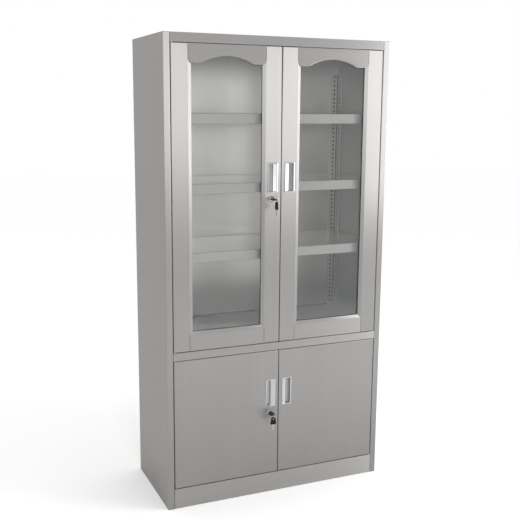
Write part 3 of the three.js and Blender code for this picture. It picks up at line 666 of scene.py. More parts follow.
def folded(path: Sequence[Sequence[float]], sheet: float, radius: float) -> np.ndarray:
    """Outline of a sheet folded along its centre line.

    Each corner of the line becomes an arc: the centre lies a radius to the inside of the point where
    the arc starts, and the heading turns evenly along it. The two faces lie half a sheet to the left
    and right of the line. A short straight after each arc keeps the flat stretches flat.

    Args:
        path: Corners of the centre line.
        sheet: Thickness.
        radius: Radius of the centre line in a fold.

    Returns:
        Points of the closed outline, as n x 2.
    """
    line = np.asarray(path, float)
    step = np.diff(line, axis=0)
    step /= np.linalg.norm(step, axis=1, keepdims=True)
    heading = np.arctan2(step[:, 1], step[:, 0])
    turn = (np.diff(heading) + np.pi) % (2 * np.pi) - np.pi
    reach = radius * np.tan(np.abs(turn) / 2)[:, None]
    start, stop = line[1:-1] - reach * step[:-1], line[1:-1] + reach * step[1:]
    angle = heading[:-1, None] + turn[:, None] * np.linspace(0, 1, BEND_STEPS + 1)
    left = np.stack([-np.sin(angle), np.cos(angle)], axis=-1)
    inside = radius * np.sign(turn)[:, None, None]
    arc = start[:, None] + inside * (left[:, :1] - left)
    before = (start - BEND_SUPPORT * step[:-1])[:, None]
    after = (stop + BEND_SUPPORT * step[1:])[:, None]
    bends = np.concatenate([before, arc, after], axis=1).reshape(-1, 2)
    sides = np.concatenate([left[:, :1], left, left[:, -1:]], axis=1).reshape(-1, 2)
    square = np.stack([-step[:, 1], step[:, 0]], axis=-1)
    middle = np.concatenate([line[:1], bends, line[-1:]])
    across = np.concatenate([square[:1], sides, square[-1:]]) * sheet / 2
    return np.concatenate([middle + across, (middle - across)[::-1]])


def swept(section: np.ndarray, axis: int, start: float, stop: float) -> Shell:
    """A section carried straight along one axis.

    Args:
        section: Outline in the other two axes, in their order.
        axis: Number of the axis.
        start: Where it starts.
        stop: Where it stops.

    Returns:
        The prism.
    """
    rings = [np.insert(section, axis, station, axis=1) for station in (start, stop)]
    return Shell.stack(np.stack(rings))


def rectangle(low: Sequence[float], high: Sequence[float]) -> np.ndarray:
    """Four corners between two opposite ones."""
    return np.array([low, (high[0], low[1]), high, (low[0], high[1])], float)


def pierced(outer: np.ndarray, hole: np.ndarray, front: float, back: float) -> Shell:
    """An upright plate with a hole: rings round the hole and the edge, in front and behind."""
    faces = [(hole, front), (outer, front), (outer, back), (hole, back)]
    return Shell.stack(np.stack([np.insert(ring, 1, y, axis=1) for ring, y in faces]), closed=True)


def slotted(across: Sequence[float], heights: np.ndarray, axis: int, near: float, far: float) -> Shell:
    """An upright strip of sheet with a ladder of slots down its middle.

    The strip is a grid of cells, three wide, and the middle cell of every second row is open. Each solid
    cell has a face on both sides of the sheet, and a wall closes it towards each open neighbour.

    Args:
        across: Edges of the strip, with the edges of its slots between them.
        heights: Ends of the strip, with the ends of each slot between them.
        axis: Axis through the sheet, 0 or 1.
        near: Where the sheet starts on that axis.
        far: Where it stops.

    Returns:
        The strip.
    """
    solid = np.pad(np.ones((len(across) - 1, len(heights) - 1), int), 1)
    solid[2, 2:-1:2] = 0
    cells = solid[1:-1, 1:-1] > 0
    flat = np.stack(np.meshgrid(across, heights, indexing="ij"), axis=-1).reshape(-1, 2)
    points = np.concatenate([np.insert(flat, axis, station, axis=1) for station in (near, far)])
    first, second = np.arange(len(points)).reshape(2, len(across), len(heights))
    face = np.stack([first[:-1, :-1], first[:-1, 1:], first[1:, 1:], first[1:, :-1]], axis=-1)[cells]
    back = np.stack([second[:-1, :-1], second[1:, :-1], second[1:, 1:], second[:-1, 1:]], axis=-1)[cells]
    wall = np.stack([first[:, :-1], first[:, 1:], second[:, 1:], second[:, :-1]], axis=-1)
    sill = np.stack([first[:-1], second[:-1], second[1:], first[1:]], axis=-1)
    to_wall, to_sill = np.diff(solid[:, 1:-1], axis=0), np.diff(solid[1:-1], axis=1)
    ends = [wall[to_wall < 0], wall[to_wall > 0][:, ::-1], sill[to_sill < 0], sill[to_sill > 0][:, ::-1]]
    return Shell(points, np.concatenate([face, back, *ends]), []).outward()


def deepened(flat: np.ndarray, depth: np.ndarray, closed: bool) -> Shell:
    """Rings in x and z joined into a surface, with point j of every ring at depth j in y."""
    y = np.broadcast_to(depth[None], (*flat.shape[:2], 1))
    return Shell.stack(np.concatenate([flat[..., :1], y, flat[..., 1:]], axis=-1), closed)


def rim(section: np.ndarray, edge: np.ndarray, inward: np.ndarray, closed: bool) -> Shell:
    """A folded edge: each point of the section lies at its inset from the edge, and at its own depth.

    Args:
        section: Insets and depths.
        edge: Corners of the edge in x and z.
        inward: For each corner, how x and z change with the inset, which mitres the corner.
        closed: Whether the edge runs all the way round.

    Returns:
        The edge's surface.
    """
    return deepened(edge[:, None] + section[None, :, :1] * inward[:, None], section[:, 1:], closed)


def lathe(profile: Sequence[Sequence[float]], centre: np.ndarray, sides: int, closed: bool) -> Shell:
    """A turned piece on an axis along Y: x and z follow a circle of the profile's radius.

    Args:
        profile: Radii and y stations.
        centre: A point of the axis.
        sides: Points round the circle.
        closed: Whether the profile closes on itself round a bore.

    Returns:
        The turned surface.
    """
    radius, y = np.asarray(profile, float).T[:, :, None]
    angle = np.linspace(0, 2 * np.pi, sides, endpoint=False)
    x, z = centre[0] + radius * np.cos(angle), centre[2] + radius * np.sin(angle)
    return Shell.stack(np.stack([x, np.broadcast_to(y, x.shape), z], axis=-1), closed)


@dataclass
class Carcass:
    """Folded sheets of the case: sides, roof, deck, floor, plinth and back."""

    finishes: Finishes
    bend: float = 1.4 * MM
    front_bend: float = 2.5 * MM
    rear_flange: float = 20 * MM
    flange_return: float = 18 * MM
    rail_return: float = 45 * MM
    return_lip: float = 10 * MM
    rear_lip: float = 20 * MM
    floor_step: float = 23 * MM
    door_stop: float = 22 * MM
    body: str = "carcass"

    def __post_init__(self) -> None:
        """Read the width of the rails between the side flanges."""
        self.half_rail = float(Extent.of("plinth").high[0])

    def build(self) -> None:
        """Make the sheets and dress the back."""
        for side in Side:
            self._side(side)
        self._top()
        self._deck()
        self._floor()
        self._plinth()
        dress(self.finishes.back_steel, "back_panel")

    def _piece(self, node: str, shells: Iterable[Shell], material: Material) -> None:
        """Make one sheet in place of its node."""
        make_piece(f"{node}_sheet", shells, material, self.body, [node])

    def _widened(self, path: Sequence[Point], wing: np.ndarray, low: float, high: float) -> list[Shell]:
        """A folded run between the side flanges, with a plainer section beyond each end.

        Args:
            path: Corners of the run's centre line, in y and z.
            wing: Section beyond the ends.
            low: Where the left wing starts.
            high: Where the right wing stops.

        Returns:
            The run and its wings.
        """
        end = self.half_rail
        spans = [(folded(path, SHEET, self.bend), -end, end), (wing, low, -end), (wing, end, high)]
        return [swept(section, 0, start, stop) for section, start, stop in spans]

    def _side(self, side: Side) -> None:
        """Side panel: rear flange, side, rounded front corner, front flange and its return.

        Args:
            side: Which of the two panels.
        """
        (x0, y0, z0), (x1, y1, z1) = Extent.of("left_side_panel")
        path = [
            (x0 + self.rear_flange, y1 - HALF),
            (x0 + HALF, y1 - HALF),
            (x0 + HALF, y0 + HALF),
            (x1 - HALF, y0 + HALF),
            (x1 - HALF, y0 + self.flange_return),
        ]
        section = folded(path, SHEET, self.front_bend)
        shell = swept(section, 2, z0, z1).on(side)
        self._piece(f"{side.word}_side_panel", [shell], self.finishes.side_steel)

    def _hanging_front(self, y0: float, z0: float) -> list[Point]:
        """Corners of a rail's front, foot and stiffening lip, from its lowest front corner."""
        rear = y0 + self.rail_return - HALF
        return [(y0 + HALF, z0 + HALF), (rear, z0 + HALF), (rear, z0 + self.return_lip)]

    def _top(self) -> None:
        """Roof with its fascia folded down and back under it, and the roof over the side flanges."""
        (x0, y0, z0), (x1, y1, z1) = Extent.of("top_panel")
        path = [(y1, z1 - HALF), (y0 + HALF, z1 - HALF), *self._hanging_front(y0, z0)]
        over_flange = rectangle((y0, z1 - SHEET), (y1, z1))
        self._piece("top_panel", self._widened(path, over_flange, x0, x1), self.finishes.level_steel)

    def _decked(self, node: str, front: list[Point], wing_front: float) -> None:
        """A floor sheet with a rear lip, widened behind the side flanges.

        Args:
            node: The node that it stands for.
            front: Corners of its front, from the floor on, in y and z.
            wing_front: Where the wide part starts.
        """
        (x0, _, _), (x1, y1, z1) = Extent.of(node)
        rear = [(y1 - HALF, z1 - self.rear_lip), (y1 - HALF, z1 - HALF)]
        wing = folded([*rear, (wing_front, z1 - HALF)], SHEET, self.bend)
        self._piece(node, self._widened([*rear, *front], wing, x0, x1), self.finishes.deck_steel)

    def _deck(self) -> None:
        """Floor of the glazed bay, stepped down to the rail between the doors."""
        z0, z1 = Extent.of("middle_deck").low[2], Extent.of("middle_deck").high[2]
        y0 = Extent.of("plinth").low[1]
        floor, rail, stop = z1 - HALF, z1 - self.floor_step - HALF, y0 + self.door_stop + HALF
        step = [(stop, floor), (stop, rail), (y0 + HALF, rail)]
        self._decked("middle_deck", [*step, *self._hanging_front(y0, z0)], y0 + self.door_stop)

    def _floor(self) -> None:
        """Floor of the lower bay."""
        box = Extent.of("bottom_panel")
        front = box.low[1]
        behind = front + self.flange_return + SEAM
        self._decked("bottom_panel", [(front, box.high[2] - HALF)], behind)

    def _plinth(self) -> None:
        """Channel under the doors with its foot on the ground."""
        (_, y0, z0), (_, y1, z1) = Extent.of("plinth")
        path = [(y1, z0 + HALF), (y0 + HALF, z0 + HALF), (y0 + HALF, z1 - HALF), (y1, z1 - HALF)]
        shell = swept(folded(path, SHEET, self.bend), 0, -self.half_rail, self.half_rail)
        self._piece("plinth", [shell], self.finishes.level_steel)


@dataclass
class SlottedUpright:
    """Upright at the side of the glazed bay: a channel in front, an angle in the corner behind."""

    finishes: Finishes
    side: Side
    place: str
    slot_first: float = 22 * MM
    slot_pitch: float = 18 * MM
    slot_width: float = 8 * MM
    slot_height: float = 9 * MM

    def build(self) -> None:
        """Make the upright."""
        node = f"{self.side.word}_{self.place}_upright"
        shells = [shell.on(self.side) for shell in self._shells()]
        make_piece(f"{node}_strip", shells, self.finishes.slotted_steel, "carcass", [node])

    def _shells(self) -> list[Shell]:
        """Left-hand surfaces, with slots at one pitch up the web and the leg.

        Returns:
            The web and its fold to the wall, then the other fold, or the leg by the back and its edge.
        """
        (x0, y0, z0), (x1, y1, z1) = Extent.of(f"left_{self.place}_upright")
        web, middle = x0 + UPRIGHT_DEPTH, UPRIGHT_SHEET / 2
        rungs = np.arange(z0 - SEAM + self.slot_first, z1 - self.slot_height, self.slot_pitch)
        slots = rungs[:, None] + np.array([-0.5, 0.5]) * self.slot_height
        heights = np.concatenate([[z0], slots.ravel(), [z1]])
        strip = slotted(self._edges(y0, y1, y0), heights, 0, web - UPRIGHT_SHEET, web)
        fold = swept(rectangle((x0, y0), (web - middle, y0 + UPRIGHT_SHEET)), 2, z0, z1)
        if self.place == "front":
            other = rectangle((x0, y1 - UPRIGHT_SHEET), (web - middle, y1))
            return [strip, fold, swept(other, 2, z0, z1)]
        leg = y1 - BACK_LEG_GAP
        back = slotted(self._edges(web, x1, web - middle), heights, 1, leg - UPRIGHT_SHEET, leg)
        edge = rectangle((x1 - UPRIGHT_SHEET, leg - middle), (x1, y1))
        return [strip, fold, back, swept(edge, 2, z0, z1)]

    def _edges(self, start: float, stop: float, first: float) -> list[float]:
        """Edges across a strip from `first` to `stop`, with slots midway between `start` and `stop`."""
        middle = (start + stop) / 2
        return [first, middle - self.slot_width / 2, middle + self.slot_width / 2, stop]


@dataclass
class Shelving:
    """Shelf trays, with the slotted uprights and hangers that carry the upper ones."""

    finishes: Finishes
    shelves: tuple[str, ...] = ("upper_shelf_1", "upper_shelf_2", "upper_shelf_3", "lower_shelf")
    bend: float = 1.4 * MM
    lip_return: float = 12 * MM
    end_lip: float = 20 * MM
    rear_lip: float = 18 * MM

    def build(self) -> None:
        """Make the trays and dress what carries them."""
        for node in self.shelves:
            make_piece(f"{node}_tray", self._tray(node), self.finishes.tray_steel,
                       "carcass", [node])
        for side in Side:
            SlottedUpright(self.finishes, side, "front").build()
            SlottedUpright(self.finishes, side, "rear").build()
            hangers = [f"{side.word}_shelf_hanger_{number}" for number in (1, 2, 3)]
            dress(self.finishes.slotted_steel, *hangers)

    def _tray(self, node: str) -> list[Shell]:
        """One tray: the folded run from front lip to rear lip, and a lip inside each end.

        Args:
            node: The node that it stands for.

        Returns:
            The tray's surfaces.
        """
        (x0, y0, z0), (x1, y1, z1) = Extent.of(node)
        path = [
            (y0 + self.lip_return, z0 + HALF),
            (y0 + HALF, z0 + HALF),
            (y0 + HALF, z1 - HALF),
            (y1 - HALF, z1 - HALF),
            (y1 - HALF, z1 - self.rear_lip),
        ]
        lip = rectangle((y0 + SHEET, z1 - self.end_lip), (y1 - SHEET, z1 - SHEET))
        return [
            swept(folded(path, SHEET, self.bend), 0, x0, x1),
            swept(lip, 0, x0, x0 + SHEET),
            swept(lip, 0, x1 - SHEET, x1),
        ]


@dataclass
class DoorSheet:
    """Folded sheet of a door: the sizes and left-hand surfaces that glazed and plain doors share."""

    finishes: Finishes
    side: Side
    lip: float = 13.2 * MM
    bend: float = 1.8 * MM
    face_join: float = 4 * MM
    pull_rim: float = 3 * MM

    def edge_section(self, front: float, rear: float) -> np.ndarray:
        """Insets and depths of the folded edge: back lip, return, rounded front and a strip of face.

        Args:
            front: Depth of the door's face.
            rear: Depth of its back.

        Returns:
            Points of the edge's section.
        """
        path = [
            (self.lip, rear - HALF_DOOR),
            (HALF_DOOR, rear - HALF_DOOR),
            (HALF_DOOR, front + HALF_DOOR),
            (self.face_join, front + HALF_DOOR),
        ]
        return folded(path, DOOR_SHEET, self.bend)

    def pull_hole(self, node: str) -> np.ndarray:
        """Corners of the hole that a pull's tub passes through.

        Args:
            node: The pull's node.

        Returns:
            Four corners in x and z.
        """
        box = Extent.of(node)
        inset = self.pull_rim - SEAM
        return rectangle(box.low[[0, 2]] + inset, box.high[[0, 2]] - inset)


@dataclass
class GlazedDoor(DoorSheet):
    """Upper door: two stiles, an arched rail and a bottom rail round a bevelled window."""

    bevel: float = 12.5 * MM
    bevel_depth: float = 6 * MM
    bevel_bend: float = 2 * MM
    land: float = 1.0 * MM
    arch_roll: float = 4 * MM
    arch_bend: float = 3 * MM
    arch_land: float = 2.2 * MM
    mitre_lap: float = 5 * MM
    arch_radius: float = 190 * MM
    arch_rise: float = 28 * MM
    arch_fillet: float = 20 * MM
    arch_steps: int = 48
    fillet_steps: int = 10

    def __post_init__(self) -> None:
        """Read the door's outline and its window from the left door's nodes."""
        names = ("hinge_stile", "meeting_stile", "bottom_rail", "arch_rail")
        boxes = {name: Extent.of(f"upper_left_{name}") for name in names}
        door = Extent.of(*(f"upper_left_{name}" for name in names))
        (self.x0, self.front, self.z0), (self.x1, self.rear, self.z1) = door
        self.left, self.right = boxes["hinge_stile"].high[0], boxes["meeting_stile"].low[0]
        self.bottom, self.shoulder = boxes["bottom_rail"].high[2], boxes["arch_rail"].low[2]
        self.face_left, self.face_right = self.left - self.bevel, self.right + self.bevel

    def build(self) -> None:
        """Make the frame members and dress the pane and its rubber."""
        members = {
            "hinge_stile": (self._hinge_stile(), self.finishes.upright_steel),
            "meeting_stile": (self._meeting_stile(), self.finishes.upright_steel),
            "bottom_rail": (self._bottom_rail(), self.finishes.level_steel),
            "arch_rail": (self._arch_rail(), self.finishes.level_steel),
        }
        for member, (shells, material) in members.items():
            node = f"upper_{self.side.word}_{member}"
            placed = [shell.on(self.side) for shell in shells]
            make_piece(f"{node}_sheet", placed, material, self._body, [node])
        dress(self.finishes.rubber, f"upper_{self.side.word}_gasket")
        dress(self.finishes.glass, f"upper_{self.side.word}_glass")

    @property
    def _body(self) -> str:
        """The body of this door."""
        return f"upper_{self.side.word}_door"

    def _arch_run(self, offset: float) -> np.ndarray:
        """Upper edge of the window, grown outwards by an offset, from right to left.

        Level shoulders run through hollow fillets into a shallow arch. The fillets' centres lie one
        fillet above the shoulders and one fillet plus one arch radius from the arch's centre, which
        fixes where the arcs meet.

        Args:
            offset: Distance outwards from the window.

        Returns:
            Points in x and z.
        """
        middle = (self.left + self.right) / 2
        arch_z = self.shoulder + self.arch_rise - self.arch_radius
        fillet_z = self.shoulder + self.arch_fillet
        run = np.sqrt((self.arch_radius + self.arch_fillet) ** 2 - (fillet_z - arch_z) ** 2)
        spring = np.arctan2(fillet_z - arch_z, run)
        hollow, arch = self.arch_fillet - offset, self.arch_radius + offset
        into = np.linspace(1.5 * np.pi, np.pi + spring, self.fillet_steps)
        over = np.linspace(spring, np.pi - spring, self.arch_steps)[1:-1]
        out = np.linspace(2 * np.pi - spring, 1.5 * np.pi, self.fillet_steps)
        return np.concatenate([
            [(self.right + offset, self.shoulder + offset)],
            np.stack([middle + run + hollow * np.cos(into), fillet_z + hollow * np.sin(into)], -1),
            np.stack([middle + arch * np.cos(over), arch_z + arch * np.sin(over)], -1),
            np.stack([middle - run + hollow * np.cos(out), fillet_z + hollow * np.sin(out)], -1),
            [(self.left - offset, self.shoulder + offset)],
        ])

    def _straight_run(self, side: str, offset: float) -> np.ndarray:
        """One straight edge of the window, grown outwards by an offset.

        The upright edges run on under the arch plate, further where the bevel lies deeper.

        Args:
            side: Name of the edge.
            offset: Distance outwards from the window.

        Returns:
            The edge's two ends in x and z.
        """
        lap = self.mitre_lap * max(0.0, 1 - offset / self.bevel)
        low, high = self.bottom - offset, self.shoulder + offset + lap
        left, right = self.left - offset, self.right + offset
        runs = {
            "left": [(left, low), (left, high)],
            "right": [(right, low), (right, high)],
            "bottom": [(left, low), (right, low)],
        }
        return np.array(runs[side])

    def _bevel_section(self, width: float, land: float, bend: float) -> np.ndarray:
        """Offsets and depths of the bevel: a narrow land, a soft bend and the slope to the window.

        Args:
            width: Width of the slope.
            land: Width of the land.
            bend: Radius of the bend.

        Returns:
            Points of the bevel's section.
        """
        path = [
            (width + land, self.front + HALF_DOOR),
            (width, self.front + HALF_DOOR),
            (0.0, self.front + self.bevel_depth + HALF_DOOR),
        ]
        return folded(path, DOOR_SHEET, bend)

    def _bevelled(self, side: str) -> Shell:
        """Bevel along one edge of the window, mitred at the corners.

        Point (i, j) lies on the window's edge grown by the offset of section point j.

        Args:
            side: Name of the edge.

        Returns:
            The bevel's surface.
        """
        if side == "top":
            section = self._bevel_section(self.arch_roll, self.arch_land, self.arch_bend)
            grown = [self._arch_run(offset) for offset in section[:, 0]]
        else:
            section = self._bevel_section(self.bevel, self.land, self.bevel_bend)
            grown = [self._straight_run(side, offset) for offset in section[:, 0]]
        flat = np.stack(grown, axis=1)
        if side == "bottom":
            flat[..., 0] = np.clip(flat[..., 0], self.face_left + SEAM, self.face_right - SEAM)
        return deepened(flat, section[:, 1:], closed=False)

    def _stile_rim(self, outer: float, inner: float) -> Shell:
        """Folded edge along a stile's outer side and its two ends.

        Args:
            outer: Place of the outer side in x.
            inner: Place of the inner side.

        Returns:
            The edge's surface.
        """
        edge = np.array([(inner, self.z0), (outer, self.z0), (outer, self.z1), (inner, self.z1)])
        way = np.sign(inner - outer)
        inward = np.array([(0, 1), (way, 1), (way, -1), (0, -1)], float)
        return rim(self.edge_section(self.front, self.rear), edge, inward, closed=False)

    def _hinge_stile(self) -> list[Shell]:
        """Stile on the hinge side: plate, folded edge and bevel.

        Returns:
            Its plate, folded edge and bevel.
        """
        low = (self.x0 + self.face_join, self.z0 + self.face_join)
        high = (self.face_left - self.land, self.z1 - self.face_join)
        plate = swept(rectangle(low, high), 1, self.front, self.front + DOOR_SHEET)
        return [plate, self._stile_rim(self.x0, self.face_left), self._bevelled("left")]

    def _meeting_stile(self) -> list[Shell]:
        """Stile where the doors meet, pierced for the pull.

        Returns:
            Its plate, folded edge and bevel.
        """
        low = (self.face_right + self.land, self.z0 + self.face_join)
        high = (self.x1 - self.face_join, self.z1 - self.face_join)
        hole = self.pull_hole("upper_left_handle")
        plate = pierced(rectangle(low, high), hole, self.front, self.front + DOOR_SHEET)
        return [plate, self._stile_rim(self.x1, self.face_right), self._bevelled("right")]

    def _rail_rim(self, z: float, way: int) -> Shell:
        """Folded edge along the top or bottom of a rail.

        Args:
            z: Height of the edge.
            way: 1 where the rail lies above the edge, or -1.

        Returns:
            The edge's surface.
        """
        edge = np.array([(self.face_left + SEAM, z), (self.face_right - SEAM, z)])
        inward = np.array([(0, way), (0, way)], float)
        return rim(self.edge_section(self.front, self.rear), edge, inward, closed=False)

    def _bottom_rail(self) -> list[Shell]:
        """Rail under the window.

        Returns:
            Its plate, folded edge and bevel.
        """
        low = (self.face_left + SEAM, self.z0 + self.face_join)
        high = (self.face_right - SEAM, self.bottom - self.bevel - self.land)
        plate = swept(rectangle(low, high), 1, self.front, self.front + DOOR_SHEET)
        return [plate, self._rail_rim(self.z0, 1), self._bevelled("bottom")]

    def _arch_rail(self) -> list[Shell]:
        """Flat rail over the window: its lower edge rolls along the arch, its ends rise on the mitres.

        Returns:
            Its plate, folded edge and bevel.
        """
        arch = self._arch_run(self.arch_roll + self.arch_land)
        left, right = self.face_left + SEAM, self.face_right - SEAM
        mitre, top = self.shoulder + self.bevel, self.z1 - self.face_join
        ends = [(left, mitre), (left, top), (right, top), (right, mitre)]
        plate = swept(np.concatenate([arch, ends]), 1, self.front, self.front + DOOR_SHEET)
        return [plate, self._rail_rim(self.z1, -1), self._bevelled("top")]


@dataclass
class PlainDoor(DoorSheet):
    """Lower door: one folded pan, pierced for the pull."""

    def build(self) -> None:
        """Make the pan."""
        (x0, front, z0), (x1, rear, z1) = Extent.of("lower_left_door_pan")
        inward = np.array([(1, 1), (-1, 1), (-1, -1), (1, -1)], float)
        edge = rim(self.edge_section(front, rear), rectangle((x0, z0), (x1, z1)), inward, closed=True)
        join = self.face_join
        face = rectangle((x0 + join, z0 + join), (x1 - join, z1 - join))
        plate = pierced(face, self.pull_hole("lower_left_handle"), front, front + DOOR_SHEET)
        node = f"lower_{self.side.word}_door_pan"
        shells = [shell.on(self.side) for shell in (edge, plate)]
        make_piece(f"{node}_sheet", shells, self.finishes.upright_steel,
                   f"lower_{self.side.word}_door", [node])


@dataclass
class RecessedPull:
    """Plated pull let into a door: a rounded rim round a tub with one sloping wall."""

    finishes: Finishes
    level: str
    side: Side
    rim_width: float = 3 * MM
    wall: float = 1.5 * MM
    slope: float = 13 * MM
    slope_drop: float = 3.5 * MM
    slope_shares: tuple[float, ...] = (1.0, 0.93, 0.07, 0.0)
    plate: float = 1.5 * MM
    soft: float = 0.7 * MM
    corner: float = 2.5 * MM
    corner_steps: int = 6

    def build(self) -> None:
        """Make the pull."""
        node = f"{self.level}_{self.side.word}_handle"
        shell = Shell.stack(self._rings()).on(self.side)
        make_piece(f"{node}_pull", [shell], self.finishes.pull_chrome,
                   f"{self.level}_{self.side.word}_door", [node])

    def _rings(self) -> np.ndarray:
        """Rounded rectangles from the tub's floor up over the rim and down its outside.

        A corner's points lie a corner radius from a point set in from the rectangle's corner.

        Returns:
            Points, as rings x points x 3.
        """
        (x0, y0, z0), (x1, y1, z1) = Extent.of(f"{self.level}_left_handle")
        middle_z, half_z = (z0 + z1) / 2, (z1 - z0) / 2
        back = y0 + self.plate
        floor = y1 - self.wall
        mouth = self.rim_width + self.wall
        tub = self.rim_width
        soft = self.soft
        foot = mouth + self.slope
        edge = soft / 8
        run = self.slope - 1.5 * soft
        lip = y0 + 2 * soft
        # insets from the rim's left, right and ends, then the depth
        stations = np.array([
            (mouth + 3 * soft, foot + 4 * soft, mouth + 3 * soft, floor),
            (mouth + soft, foot + 2 * soft, mouth + soft, floor),
            (mouth + soft / 4, foot + soft, mouth + soft / 4, floor - soft),
            (mouth + edge, foot + soft / 2, mouth + edge, lip + self.slope_drop + soft),
            *((mouth + edge * share, mouth + soft + run * share, mouth + edge * share,
               lip + self.slope_drop * share) for share in self.slope_shares),
            (mouth - soft / 4, mouth, mouth - soft / 4, y0 + soft),
            (mouth - soft, mouth - soft, mouth - soft, y0),
            (soft, soft, soft, y0),
            (soft / 4, soft / 4, soft / 4, y0 + soft / 3),
            (0, 0, 0, y0 + soft),
            (0, 0, 0, back),
            (tub, tub, tub, back),
            (tub, tub, tub, y1 - soft),
            (tub + soft, tub + soft, tub + soft, y1),
        ])
        left, right, ends, depth = stations.T[:, :, None]
        low_x, high_x, high_z = x0 + left, x1 - right, half_z - ends
        quarter = np.linspace(0, np.pi / 2, self.corner_steps)
        angle = (quarter[None] + np.arange(4)[:, None] * np.pi / 2).ravel()
        to_right = np.repeat([1, 0, 0, 1], self.corner_steps)
        up = np.repeat([1, 1, -1, -1], self.corner_steps)
        centre_x = np.where(to_right, high_x - self.corner, low_x + self.corner)
        centre_z = middle_z + up * (high_z - self.corner)
        x = centre_x + self.corner * np.cos(angle)
        z = centre_z + self.corner * np.sin(angle)
        return np.stack([x, np.broadcast_to(depth, x.shape), z], axis=-1)


@dataclass
class CamLock:
    """Plated lock in a left door: a stepped barrel round the plug, with the cam behind."""

    finishes: Finishes
    level: str
    bore: float = 6 * MM
    step: float = 2.8 * MM
    soft: float = 0.5 * MM
    dish: float = 0.8 * MM
    dish_edge: float = 8.2 * MM
    face_edge: float = 9.5 * MM
    plate: float = 1.5 * MM
    barrel: float = 8.5 * MM
    sides: int = 48

    def build(self) -> None:
        """Make the barrel and dress the plug and the cam."""
        node = f"{self.level}_lock_barrel"
        box = Extent.of(node)
        front, rear, radius = box.low[1], box.high[1], box.size[0] / 2
        seat = Extent.of(f"{self.level}_left_handle").low[1] + self.plate
        profile = [
            (self.bore, front + self.dish),
            (self.dish_edge - self.soft, front + self.dish),
            (self.dish_edge, front + self.soft),
            (self.dish_edge + self.soft, front),
            (self.face_edge - self.soft, front),
            (self.face_edge, front + self.soft),
            (radius - self.soft / 2, seat - self.step),
            (radius, seat - self.step + self.soft),
            (radius, seat),
            (self.barrel, seat),
            (self.barrel, rear),
            (self.bore, rear),
        ]
        shell = lathe(profile, box.middle, self.sides, closed=True)
        make_piece(f"{node}_turned", [shell], self.finishes.chrome,
                   f"{self.level}_left_door", [node])
        dress(self.finishes.chrome, f"{self.level}_lock_plug")
        dress(self.finishes.zinc, f"{self.level}_lock_cam")


